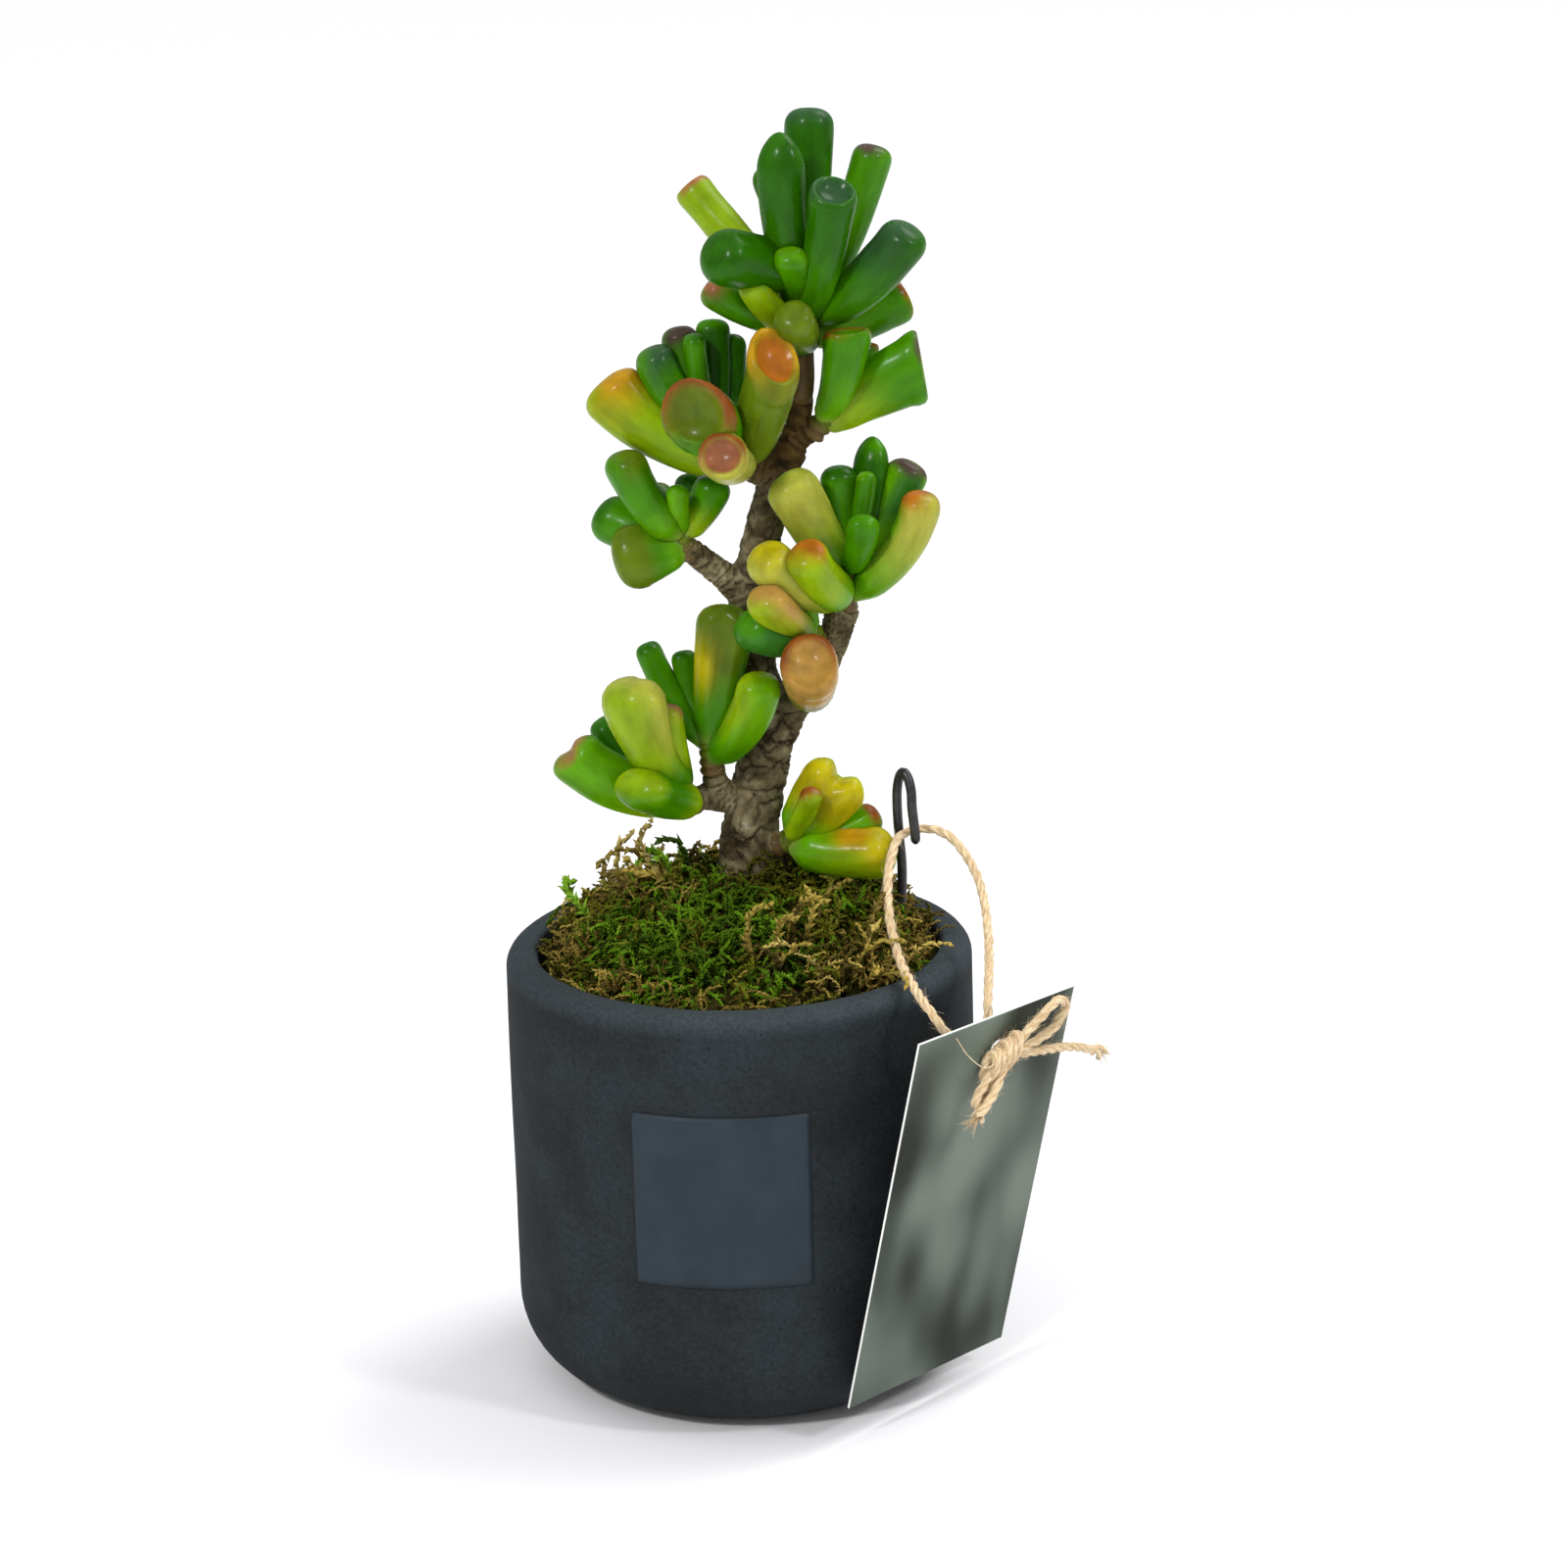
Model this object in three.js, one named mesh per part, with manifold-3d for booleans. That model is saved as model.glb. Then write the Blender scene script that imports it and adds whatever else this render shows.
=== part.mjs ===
// A jade bonsai with tubular leaves, planted in a round concrete pot, with a gift tag
// tied by jute twine to a wire hook.  Millimetres, +Z up, origin at the centre of the
// pot's base, front towards -Y.
import * as THREE from 'three';
import { mergeVertices } from 'three/addons/utils/BufferGeometryUtils.js';
import Module from 'manifold-3d';

const wasm = await Module();
wasm.setup();

// ---------------------------------------------------------------- driving dimensions
const GAP = 0.3;                       // air between two pieces that touch

const POT_RADIUS = 52;
const POT_HEIGHT = 99;
const POT_WALL = 7.2;
const POT_FLOOR = 10;
const POT_FOOT_FILLET = 19;
const POT_RIM_FILLET = 3.6;
const POT_LIP_FILLET = 1.5;            // the rim's inner edge
const POT_INNER_FILLET = 8;            // between the wall and the floor
const POT_SIDES = 42;

const LABEL_BEARING = -96;             // degrees round the pot from +X
const LABEL_FACETS = 5;                // the label's width in facets of the pot
const LABEL_BOTTOM = 37.5;
const LABEL_TOP = 76.7;
const LABEL_THICKNESS = 0.5;

const SOIL_TOP = 88;
const SOIL_CLEARANCE = 0.5;            // between the soil and the wall
const MOSS_CLEARANCE = 0.5;
const MOSS_SIDES = 40;
const MOSS_RINGS = [1, 0.93, 0.84, 0.74, 0.63, 0.52, 0.4, 0.28, 0.15, 0];
const MOSS_EDGE = 96;                  // height of the moss beside the wall
const MOSS_RISE = 17.5;                // how far its crown stands over that
const MOSS_CENTRE = [3, 6];
const MOSS_SPREAD = 48;
const MOSS_TUFT = 1.3;                 // height of the tufts in relief
const MOSS_DROP = 2.5;                 // how far its edge falls off at the wall

const TRUNK_SIDES = 10;
const TRUNK_STEPS = 38;                // rings of scars, up and down, along the trunk
const SCAR_RELIEF = 0.05;              // leaf scars ring the bark, as a part of its radius

const LEAF_SIDES = 7;
const LEAF_THICKNESS = 0.8;            // usual thickness over width
const LEAF_BOW = 1.5;                  // usual sag of a leaf's middle
const LEAF_FULLNESS = 0.5;             // 0 tapers as the outline says, 1 not at all
const CAP = 0.79;                      // where the rounding of a leaf's end starts
const CLEFT_PART = 0.3;                // how wide a cleft is, over the half width
const TIP_REACH = 1;                   // how far a leaf runs past the middle of its end
const STEM_SIDES = 7;
const STEM_STEPS = 3;

const WIRE = 2.2;
const TWINE = 2.2;
const CORD_SIDES = 8;
const HOOK_STEPS = 30;
const TWINE_STEPS = 36;

const TAG_WIDTH = 54;
const TAG_HEIGHT = 89;
const TAG_THICKNESS = 0.6;
const TAG_FOOT = [38.6, -33, 7.9];     // middle of its lower edge
const TAG_TURN = 48;                   // degrees, about Z
const TAG_LEAN = 12;                   // degrees, top away from the pot
const TAG_TILT = 2.5;                  // degrees, in its own plane
const TAG_HOLE = { across: 5, x: 2, z: 80 };

const BOW_STAND = 2.9;                 // the bow's middle in front of the card
const KNOT_RADII = [5.2, 2.2, 4.1];
const KNOT_SHIFT = 0.8;                // how far it sits left of the hole
const PLUG_RADIUS = 2;                 // the strands that pass through the hole
const PLUG_BACK = 0.6;                 // how far they show behind the card's middle

// ---------------------------------------------------------------- small tools
const vector = (p) => new THREE.Vector3(p[0], p[1], p[2]);
const radians = THREE.MathUtils.degToRad;
const smoothstep = THREE.MathUtils.smoothstep;

function solidOf(geometry) {
  const bare = geometry.clone();
  bare.deleteAttribute('normal');
  bare.deleteAttribute('uv');
  const merged = mergeVertices(bare, 1e-4);
  return new wasm.Manifold(new wasm.Mesh({
    numProp: 3,
    vertProperties: new Float32Array(merged.attributes.position.array),
    triVerts: new Uint32Array(merged.index.array),
  }));
}

function geometryOf(solid) {
  const mesh = solid.getMesh();
  const geometry = new THREE.BufferGeometry();
  const places = new Float32Array(mesh.vertProperties);
  geometry.setAttribute('position', new THREE.BufferAttribute(places, 3));
  geometry.setIndex(new THREE.BufferAttribute(new Uint32Array(mesh.triVerts), 1));
  return geometry;
}

// One solid from several that run into each other; a loose scrap is dropped.
function fuse(solids) {
  const joined = solids.reduce((sum, next) => sum.add(next));
  return largest(joined);
}

function largest(solid) {
  const bodies = solid.decompose();
  return bodies.sort((a, b) => b.volume() - a.volume())[0];
}

function moveVertices(geometry, rule) {
  const place = geometry.attributes.position;
  const p = new THREE.Vector3();
  for (let i = 0; i < place.count; i += 1) {
    p.fromBufferAttribute(place, i);
    rule(p);
    place.setXYZ(i, p.x, p.y, p.z);
  }
  return geometry;
}

// Lays a shape that stands on +Y, from 0 to 1, along a curve.  Its X goes to the side
// and its Z to the face direction; past the curve's end it runs on straight.
function layAlong(geometry, curve, face) {
  const length = curve.getLength();
  return moveVertices(geometry, (p) => {
    const t = THREE.MathUtils.clamp(p.y, 0, 1);
    const tangent = curve.getTangent(t);
    const up = face.clone().addScaledVector(tangent, -face.dot(tangent)).normalize();
    const side = new THREE.Vector3().crossVectors(tangent, up);
    const centre = curve.getPoint(t).addScaledVector(tangent, (p.y - t) * length);
    p.copy(centre.addScaledVector(side, p.x).addScaledVector(up, p.z));
  });
}

// A round tube of constant section with flat ends.
function tube(points, diameter, steps) {
  const section = new THREE.Shape();
  for (let i = 0; i < CORD_SIDES; i += 1) {
    const turn = (2 * Math.PI * (i + 0.5)) / CORD_SIDES;
    const corner = new THREE.Vector2(Math.cos(turn), Math.sin(turn)).multiplyScalar(diameter / 2);
    section[i ? 'lineTo' : 'moveTo'](corner.x, corner.y);
  }
  const route = new THREE.CatmullRomCurve3(points.map(vector));
  return new THREE.ExtrudeGeometry(section, { steps, bevelEnabled: false, extrudePath: route });
}

// A tapering limb: each station is [x, y, z, radius], and rings of scars stand out of it.
function limb(stations, steps, grow = 0, relief = SCAR_RELIEF, sides = TRUNK_SIDES) {
  const curve = new THREE.CatmullRomCurve3(stations.map(vector));
  const shape = new THREE.CylinderGeometry(1, 1, 1, sides, steps);
  moveVertices(shape, (p) => {
    const t = p.y + 0.5;
    const place = t * (stations.length - 1);
    const k = Math.min(Math.floor(place), stations.length - 2);
    const radius = THREE.MathUtils.lerp(stations[k][3], stations[k + 1][3], place - k);
    const scar = Math.round(t * steps) % 2 ? relief : -relief;
    const size = radius * (1 + scar) + grow;
    const reach = grow / curve.getLength();
    p.set(p.x * size, t + (t > 0.5 ? reach : -reach), p.z * size);
  });
  return solidOf(layAlong(shape, curve, new THREE.Vector3(0, -1, 0.01)));
}

// ---------------------------------------------------------------- leaves
// Outlines of half a leaf, as [part of the half width, part of the length].  A club ends
// round, a lance in a point, and a horn widens to a dished mouth.
const CLUB = [[0, 0], [0.46, 0.03], [0.6, 0.22], [0.83, 0.5], [1, CAP], [0.86, 0.92], [0.5, 0.985], [0, 1]];
const LANCE = [[0, 0], [0.46, 0.03], [0.6, 0.18], [0.9, 0.52], [1, 0.7], [0.96, CAP], [0.52, 0.95], [0, 1]];
const HORN = [
  [0, 0], [0.44, 0.03], [0.55, 0.22], [0.76, 0.52], [0.99, CAP],
  [1, 0.88], [0.9, 0.985], [0.83, 1], [0.5, 0.935], [0, 0.9],
];
const CLUB_CAP = 0.8;                  // length of a leaf's cap over its half width
const LANCE_CAP = 1.3;
const HORN_CAP = 0.6;
const VIEWER = [0, -1, 0.3];           // the front, where the plant shows its best side

// The upper side of a leaf: up, unless its plan says where it looks.
function faceOf(spec, along) {
  if (spec.face) {
    const face = vector(spec.face);
    return face.addScaledVector(along, -face.dot(along)).normalize();
  }
  const outward = new THREE.Vector3(along.x, along.y, 0).normalize();
  const side = new THREE.Vector3().crossVectors(outward, new THREE.Vector3(0, 0, 1));
  return new THREE.Vector3().crossVectors(side, along).normalize();
}

// spec: up (height of the root on the shoot's stem, mm), tip [x, y, z] (the middle of its
// end, which it passes by a little), wide, and where they differ from the usual: thick
// (over width), bow (mm that the middle sags), cut (degrees that the mouth leans towards
// the upper face), full (how little the lower half tapers), cleft (mm in the end) and face.
function leaf(outline, capSpan, spec, stem, grow = 0) {
  const { thick = LEAF_THICKNESS, bow = LEAF_BOW, cut = 0, full = LEAF_FULLNESS, cleft = 0 } = spec;
  const root = stem.getPointAt(Math.min(spec.up / stem.getLength(), 1));
  const along = vector(spec.tip).sub(root).normalize();
  const tip = vector(spec.tip).addScaledVector(along, TIP_REACH);
  const face = faceOf(spec, along);
  const middle = root.clone().lerp(tip, 0.5).addScaledVector(face, -2 * bow);
  const curve = new THREE.QuadraticBezierCurve3(root, middle, tip);
  const length = curve.getLength();
  const half = spec.wide / 2;
  const cap = Math.min((capSpan * half) / length, 0.5);
  const profile = outline.map(([r, s]) => new THREE.Vector2(r, s));
  const shape = new THREE.LatheGeometry(profile, LEAF_SIDES);
  moveVertices(shape, (p) => {
    const away = Math.hypot(p.x, p.z);
    const body = smoothstep(p.y, 0, 0.22) * (1 - smoothstep(p.y, 0.6, CAP));
    const fuller = away > 0 ? away ** (-full * body) : 1;
    const x = p.x * fuller * half;
    const z = p.z * fuller * half * thick;
    const across = (thick < 1 ? p.x : p.z) * fuller;
    const slant = z * Math.tan(radians(cut)) + cleft * Math.exp(-((across / CLEFT_PART) ** 2));
    const s = p.y - (slant * smoothstep(p.y, 0.55, 1)) / length;
    const capped = s < CAP ? (s / CAP) * (1 - cap) : 1 - ((1 - s) / (1 - CAP)) * cap;
    const wider = 1 + grow / (Math.hypot(x, z) || 1);
    p.set(x * wider, capped + (p.y > 0.5 ? grow : -grow) / length, z * wider);
  });
  return solidOf(layAlong(shape, curve, face));
}

// A leafy shoot: its own green stem with the leaves' roots sunk in it.
function shoot(plan, grow = 0) {
  const stem = new THREE.CatmullRomCurve3(plan.stem.map(vector));
  const wood = limb(plan.stem, STEM_STEPS, grow, 0, STEM_SIDES);
  const clubs = (plan.clubs ?? []).map((spec) => leaf(CLUB, CLUB_CAP, spec, stem, grow));
  const lances = (plan.lances ?? []).map((spec) => leaf(LANCE, LANCE_CAP, spec, stem, grow));
  const horns = (plan.horns ?? []).map((spec) => leaf(HORN, HORN_CAP, spec, stem, grow));
  return fuse([wood, ...clubs, ...lances, ...horns]);
}

// ---------------------------------------------------------------- the plant
const TRUNK = [
  [2.4, 8, 84, 6.8], [2.4, 8, 100, 7.2], [2.6, 8, 112, 7], [3.6, 7.5, 124, 6.4], [5.2, 7, 133, 5.9],
  [7.8, 6.2, 142, 5.6], [7.4, 5.6, 151, 4.9], [5.2, 5, 162, 4.7], [4.4, 5, 175, 4.7],
  [6.6, 4, 186, 4.2], [9.4, 3.4, 196, 4.1], [12, 3, 204, 4.2], [15, 3, 211, 3.5],
  [16.4, 3, 217, 2.9], [17, 3, 222, 2.7],
];
const BRANCHES = [
  {
    at: [
      [7.8, 6.2, 142, 4.8], [12.4, 5, 151, 4.6], [17, 3.2, 157.4, 4.2], [22, 1.2, 166, 3.8],
      [25.3, 0, 175, 3.6],
    ],
    steps: 14,
  },
  { at: [[4.4, 5, 176, 3.4], [-2.2, 3.4, 183.2, 3], [-8.4, 2, 188.6, 2.7]], steps: 7 },
  { at: [[11.4, 3, 203.4, 3.6], [4.6, 1.2, 206.8, 3]], steps: 3 },
  { at: [[15, 3, 211, 3], [17.6, 2, 213.2, 2.7], [20.2, 1, 214.8, 2.5]], steps: 4 },
  { at: [[4.6, 7, 128, 3.8], [-3.5, 3.4, 131.4, 3.3], [-9, -0.8, 132.4, 2.8]], steps: 7 },
  { at: [[-1.6, 4, 132, 2.8], [-3.8, 1, 136, 2.8], [-4.6, -0.2, 140.2, 2.6]], steps: 5 },
  { at: [[5, 7, 117, 3.2], [8.6, 4.6, 119.4, 2.9], [11, 2.9, 120.6, 2.6]], steps: 4 },
];

const SHOOTS = {
  shoot_crown: {
    stem: [[17.1, 3, 222.6, 2.5], [18, 3, 232, 2.3], [19, 3, 242, 2.2], [19.5, 3, 250, 1.8]],
    clubs: [
      { up: 20, tip: [20.3, 10, 281.4], wide: 10.8, thick: 0.9, bow: 0.5 },
      { up: 16, tip: [33.9, 8, 273.4], wide: 8.6, thick: 1, full: 0.6 },
      { up: 16, tip: [40.4, -8, 258.4], wide: 10.4, thick: 1.05, bow: 2.5, full: 0.7 },
      { up: 28, tip: [-0.7, -13, 255.6], wide: 12, thick: 1.05, bow: 1, full: 0.7 },
      { up: 18, tip: [15, -10, 254.4], wide: 8, bow: 0.5, full: 0.7 },
      { up: 12, tip: [6.9, -8, 248.6], wide: 6.8, thick: 1, full: 0.8 },
      { up: 11, tip: [15.6, -14, 242.2], wide: 9, thick: 1, bow: 1, full: 0.8 },
      { up: 14, tip: [-2, 4, 245.4], wide: 7.4, thick: 1, full: 0.8 },
      { up: 26, tip: [12, 19, 268], wide: 9 },
      { up: 22, tip: [28, 21, 262], wide: 9.4 },
      { up: 13, tip: [16, 23, 244], wide: 9.6, bow: 2.5 },
    ],
    lances: [
      { up: 14, tip: [13.9, -6, 278.8], wide: 10.4, bow: 3.4 },
    ],
    horns: [
      { up: 14, tip: [24.5, -14, 267.6], wide: 10.2, thick: 0.95, cut: -34 },
      { up: 12, tip: [38.8, 12, 240.6], wide: 9, thick: 1.15, bow: 2, cut: -18 },
      { up: 16, tip: [-4.9, 17, 264.4], wide: 8.4, thick: 1, bow: 0.5, full: 0.8 },
    ],
  },
  shoot_crown_right: {
    stem: [[20.6, 0.9, 215.1, 2.6], [23, 0.4, 218, 2.2]],
    horns: [
      { up: 2, tip: [26.8, -6, 236.2], wide: 11.4, cut: 14, full: 0.4 },
      { up: 1, tip: [42.3, 0, 227.5], wide: 9.2, thick: 1.74, bow: -0.8, cut: -24, full: 0.3 },
      { up: 3, tip: [30, 13, 230], wide: 9, cut: 20 },
    ],
  },
  shoot_upper_left: {
    stem: [[4, 0.9, 207.5, 2.8], [-1, 0, 211, 2.6], [-4, 1, 218, 2]],
    clubs: [
      { up: 2, tip: [-24.8, 4, 225.2], wide: 10, thick: 1.44, bow: 3, full: 0.6 },
      { up: 9, tip: [-8.6, 6, 235.8], wide: 8.4, thick: 0.9, full: 0.8 },
      { up: 6, tip: [-14.6, 2, 232.4], wide: 10, thick: 0.9, full: 0.7 },
      { up: 7, tip: [-1.6, 8, 236.8], wide: 7.6, bow: 1, full: 0.7 },
      { up: 4, tip: [2.1, 10, 233.1], wide: 7, full: 0.7 },
      { up: 8, tip: [-5.6, 0, 235.3], wide: 6, bow: 0.5, full: 0.8 },
      { up: 5, tip: [-9, 18, 225], wide: 9 },
    ],
    horns: [
      { up: 3, tip: [-5.4, -16, 222], wide: 17.4, bow: 2, cut: -35, full: 0.3 },
      { up: 1, tip: [-0.3, -20, 214], wide: 11, thick: 0.95, bow: 1, full: 0.8 },
      { up: 1, tip: [11, -16, 233.2], wide: 11.8, thick: 1.1, bow: 2, cut: -52, full: 0.6 },
      { up: 4, tip: [-18, 14, 219], wide: 9, cut: 20 },
    ],
  },
  shoot_left: {
    stem: [[-8.7, 1.9, 189, 2.4], [-10.4, 1.2, 193, 2]],
    clubs: [
      { up: 3, tip: [-21.4, -3, 210.6], wide: 10.4, thick: 0.9, bow: 2, full: 0.75 },
      { up: 2, tip: [-27, 8, 196], wide: 10.6, thick: 1, full: 0.7 },
      { up: 1, tip: [-23.6, -1, 187.2], wide: 14.8, thick: 0.55, bow: 0.5, full: 0.2, face: VIEWER },
      { up: 3, tip: [-2.4, 4, 203], wide: 8.4, thick: 0.95, bow: 1, full: 0.7 },
      { up: 3, tip: [-10.3, -4, 203], wide: 5, bow: 0.5, full: 0.8 },
      { up: 3, tip: [-7, 12, 202], wide: 8, full: 0.7 },
      { up: 2, tip: [-16, 15, 199], wide: 9 },
    ],
  },
  shoot_right: {
    stem: [[25.4, 0, 175.4, 2.8], [26.6, 0, 181, 2.6], [27, 0.5, 188, 2]],
    clubs: [
      { up: 9, tip: [25, 3, 204.7], wide: 8.6, thick: 0.9, bow: 1, full: 0.7 },
      { up: 11, tip: [30.6, -1, 204.1], wide: 5.4, bow: 0.5, full: 0.8 },
      { up: 8, tip: [29.3, -11, 197], wide: 7, bow: 2, full: 0.6 },
      { up: 5, tip: [13.8, -8, 204.9], wide: 11.6, thick: 0.75, bow: 2, full: 0.6, face: VIEWER },
      { up: 2, tip: [7.8, -13, 190.6], wide: 11.4, thick: 0.9, bow: 2, full: 0.8 },
      { up: 2, tip: [16.8, -17, 191.7], wide: 9, thick: 1.1, bow: 2, full: 0.9 },
      { up: 6, tip: [40.6, 4, 204.8], wide: 9.8, thick: 0.7, bow: 2, full: 0.7, face: VIEWER },
      { up: 2, tip: [42.2, -6, 200.6], wide: 9.6, thick: 0.9, bow: 3.5, full: 0.8 },
      { up: 8, tip: [31, 17, 199], wide: 9, bow: 2 },
      { up: 5, tip: [20, 16, 195], wide: 9.6, bow: 2 },
    ],
    lances: [
      { up: 7, tip: [32.3, 6, 210.4], wide: 8.6, bow: 1, full: 0.6 },
    ],
  },
  shoot_trunk_front: {
    stem: [[18.8, -2.2, 168.4, 2.4], [17.6, -4.2, 171.5, 2.1]],
    clubs: [
      { up: 1, tip: [3.6, -12, 174.6], wide: 11, thick: 0.9, bow: 1, full: 0.8 },
      { up: 3, tip: [17, -6, 179], wide: 4.6, bow: 0.2, full: 0.8 },
      { up: 3, tip: [7.2, -17, 182], wide: 9.4, thick: 0.95, bow: 1 },
    ],
  },
  shoot_fork_front: {
    stem: [[17.4, -1.6, 156.4, 2.4], [17.4, -4, 159, 2.2]],
    horns: [
      { up: 1, tip: [17, -17.6, 167.2], wide: 13.2, thick: 1.18, bow: 0, cut: 8, full: 0.7 },
    ],
  },
  shoot_lower_left_upright: {
    stem: [[-4.7, -0.4, 140.8, 2.6], [-5, -1.4, 146, 2.3]],
    clubs: [
      { up: 3, tip: [-0.7, -5, 176], wide: 12.4, thick: 0.7, bow: 1, full: 0.4, face: VIEWER },
      { up: 1, tip: [6, -10, 162.3], wide: 10.6, thick: 0.9, bow: 3, full: 0.7 },
      { up: 3, tip: [-18, 6, 165.7], wide: 7.2, full: 0.8 },
      { up: 4, tip: [-10.1, 7, 163.4], wide: 6, full: 0.8 },
      { up: 3, tip: [-9, 14, 157], wide: 9 },
    ],
  },
  shoot_lower_left: {
    stem: [[-9.4, -1.1, 132.5, 2.7], [-12, -2.4, 134.5, 2.4]],
    clubs: [
      { up: 2, tip: [-14.2, -9, 155.5], wide: 7.6, thick: 1, full: 0.8 },
      { up: 3, tip: [-21.8, -12, 162.2], wide: 14.8, thick: 0.85, bow: 2, full: 0.6 },
      { up: 2, tip: [-28.6, 6, 149], wide: 9, bow: 2 },
      { up: 1, tip: [-21.4, -15, 140.4], wide: 14.4, thick: 0.68, bow: 1, full: 0.9 },
      { up: 1.5, tip: [-35.6, -4, 145.4], wide: 9.2, thick: 1.36, bow: 3, full: 0.8, cleft: 1.8 },
      { up: 1, tip: [-20, 13, 142], wide: 9 },
    ],
  },
  shoot_lower_right: {
    stem: [[11.3, 2.7, 120.8, 2.6], [13.4, 1.6, 121.8, 2.3]],
    clubs: [
      { up: 2, tip: [23.8, -3, 138], wide: 14.8, thick: 0.65, bow: 1, full: 0.6, cleft: 2.6, face: VIEWER },
      { up: 1, tip: [16.9, -8, 135], wide: 5.4, thick: 0.9, bow: 0.5, full: 0.8 },
      { up: 2, tip: [31, 2, 126.8], wide: 8, thick: 0.9, full: 0.7 },
      { up: 1, tip: [23, 15, 130], wide: 9 },
      { up: 1, tip: [34, -3.6, 120], wide: 12.4, thick: 0.95, full: 0.9 },
    ],
  },
};

function trunk(grow = 0) {
  const limbs = BRANCHES.map((branch) => limb(branch.at, branch.steps, grow));
  return fuse([limb(TRUNK, TRUNK_STEPS, grow), ...limbs]);
}

// ---------------------------------------------------------------- pot and filling
function arc(profile, centre, radius, from, to, steps) {
  for (let i = 0; i <= steps; i += 1) {
    const turn = radians(THREE.MathUtils.lerp(from, to, i / steps));
    const spoke = new THREE.Vector2(Math.cos(turn), Math.sin(turn)).multiplyScalar(radius);
    profile.push(new THREE.Vector2(centre[0], centre[1]).add(spoke));
  }
}

function turned(profile, sides) {
  return new THREE.LatheGeometry(profile, sides).rotateX(Math.PI / 2);
}

function pot() {
  const inner = POT_RADIUS - POT_WALL;
  const lip = POT_LIP_FILLET;
  const cove = POT_INNER_FILLET;
  const profile = [new THREE.Vector2(0, 0)];
  arc(profile, [POT_RADIUS - POT_FOOT_FILLET, POT_FOOT_FILLET], POT_FOOT_FILLET, -90, 0, 5);
  arc(profile, [POT_RADIUS - POT_RIM_FILLET, POT_HEIGHT - POT_RIM_FILLET], POT_RIM_FILLET, 0, 90, 3);
  arc(profile, [inner + lip, POT_HEIGHT - lip], lip, 90, 180, 2);
  arc(profile, [inner - cove, POT_FLOOR + cove], cove, 0, -90, 2);
  profile.push(new THREE.Vector2(0, POT_FLOOR));
  const facet = 360 / POT_SIDES;
  return turned(profile, POT_SIDES).rotateZ(radians(LABEL_BEARING - facet / 2 + 90));
}

function potLabel() {
  const sweep = radians((360 / POT_SIDES) * LABEL_FACETS);
  const height = LABEL_TOP - LABEL_BOTTOM;
  const plate = new THREE.BoxGeometry(sweep, LABEL_THICKNESS, height, LABEL_FACETS, 1, 1);
  return moveVertices(plate, (p) => {
    const bearing = radians(LABEL_BEARING) + p.x;
    const radius = POT_RADIUS + GAP + LABEL_THICKNESS / 2 - p.y;
    p.set(radius * Math.cos(bearing), radius * Math.sin(bearing), LABEL_BOTTOM + height / 2 + p.z);
  });
}

function soil() {
  const wall = POT_RADIUS - POT_WALL - SOIL_CLEARANCE;
  const profile = [
    new THREE.Vector2(0, POT_FLOOR + GAP), new THREE.Vector2(wall - 9, POT_FLOOR + GAP),
    new THREE.Vector2(wall - 2.5, POT_FLOOR + 4), new THREE.Vector2(wall, POT_FLOOR + 9),
    new THREE.Vector2(wall, SOIL_TOP), new THREE.Vector2(0, SOIL_TOP),
  ];
  return solidOf(turned(profile, POT_SIDES));
}

function mossHeight(x, y) {
  const away = Math.hypot(x - MOSS_CENTRE[0], y - MOSS_CENTRE[1]) / MOSS_SPREAD;
  const mound = MOSS_RISE * (1 - Math.min(away, 1) ** 1.7);
  const edge = -MOSS_DROP * smoothstep(Math.hypot(x, y), 40, 45);
  const tufts = Math.sin(0.55 * x + 0.8 * Math.sin(0.35 * y)) * Math.sin(0.6 * y + 0.9 * Math.sin(0.4 * x));
  return MOSS_EDGE + mound + edge + MOSS_TUFT * tufts;
}

function moss() {
  const wall = POT_RADIUS - POT_WALL - MOSS_CLEARANCE;
  const floor = SOIL_TOP + GAP;
  const profile = [new THREE.Vector2(0, floor), new THREE.Vector2(wall, floor)];
  for (const part of MOSS_RINGS) {
    profile.push(new THREE.Vector2(wall * part, MOSS_EDGE));
  }
  const cushion = turned(profile, MOSS_SIDES);
  moveVertices(cushion, (p) => {
    if (p.z > floor + 1) p.z = mossHeight(p.x, p.y);
  });
  return solidOf(cushion);
}

// ---------------------------------------------------------------- hook, twine and tag
const HOOK_ROUTE = [
  [35.6, 1.6, 66], [35.6, 1.6, 97], [36.6, 1.6, 108], [36.8, 1.6, 115], [36.3, 1.6, 122],
  [36, 1.6, 128.3], [36.1, 1.4, 133], [36.7, 0.7, 136], [37.5, -0.2, 137], [38.4, -1.2, 135.8],
  [39, -2.2, 133], [39.1, -2.7, 129.5], [39.5, -3, 125.3], [39.8, -3, 121.2],
];
const TWINE_ROUTE = [
  [51.2, -40.2, 86], [47.8, -44.2, 88.4], [44.9, -47.9, 91.6], [43.2, -49.1, 93.9], [41.7, -49.2, 96],
  [40.4, -47.9, 97.9], [39, -45.6, 99.2], [37.2, -39.8, 100.8], [35, -31.5, 103], [33.5, -25, 107.4],
  [32.8, -19, 112.2], [33, -14.8, 116.4], [33.6, -11.4, 119.2], [34.7, -7.4, 121.6], [36, -3.6, 122.9],
  [37.9, -0.8, 123.2], [40.6, 1.2, 123.2], [44, 1.6, 123], [47.4, 0.4, 121.6], [50.4, -2.6, 118.8],
  [52.8, -7.8, 115.2], [54, -14, 111.4], [54.4, -21, 106.8], [54.1, -29, 101.8], [53.5, -34.6, 98.4],
  [53.1, -37.8, 94.6], [52.9, -39.2, 90.4],
];

function hook(grow = 0) {
  return tube(HOOK_ROUTE, WIRE + 2 * grow, HOOK_STEPS);
}

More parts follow.
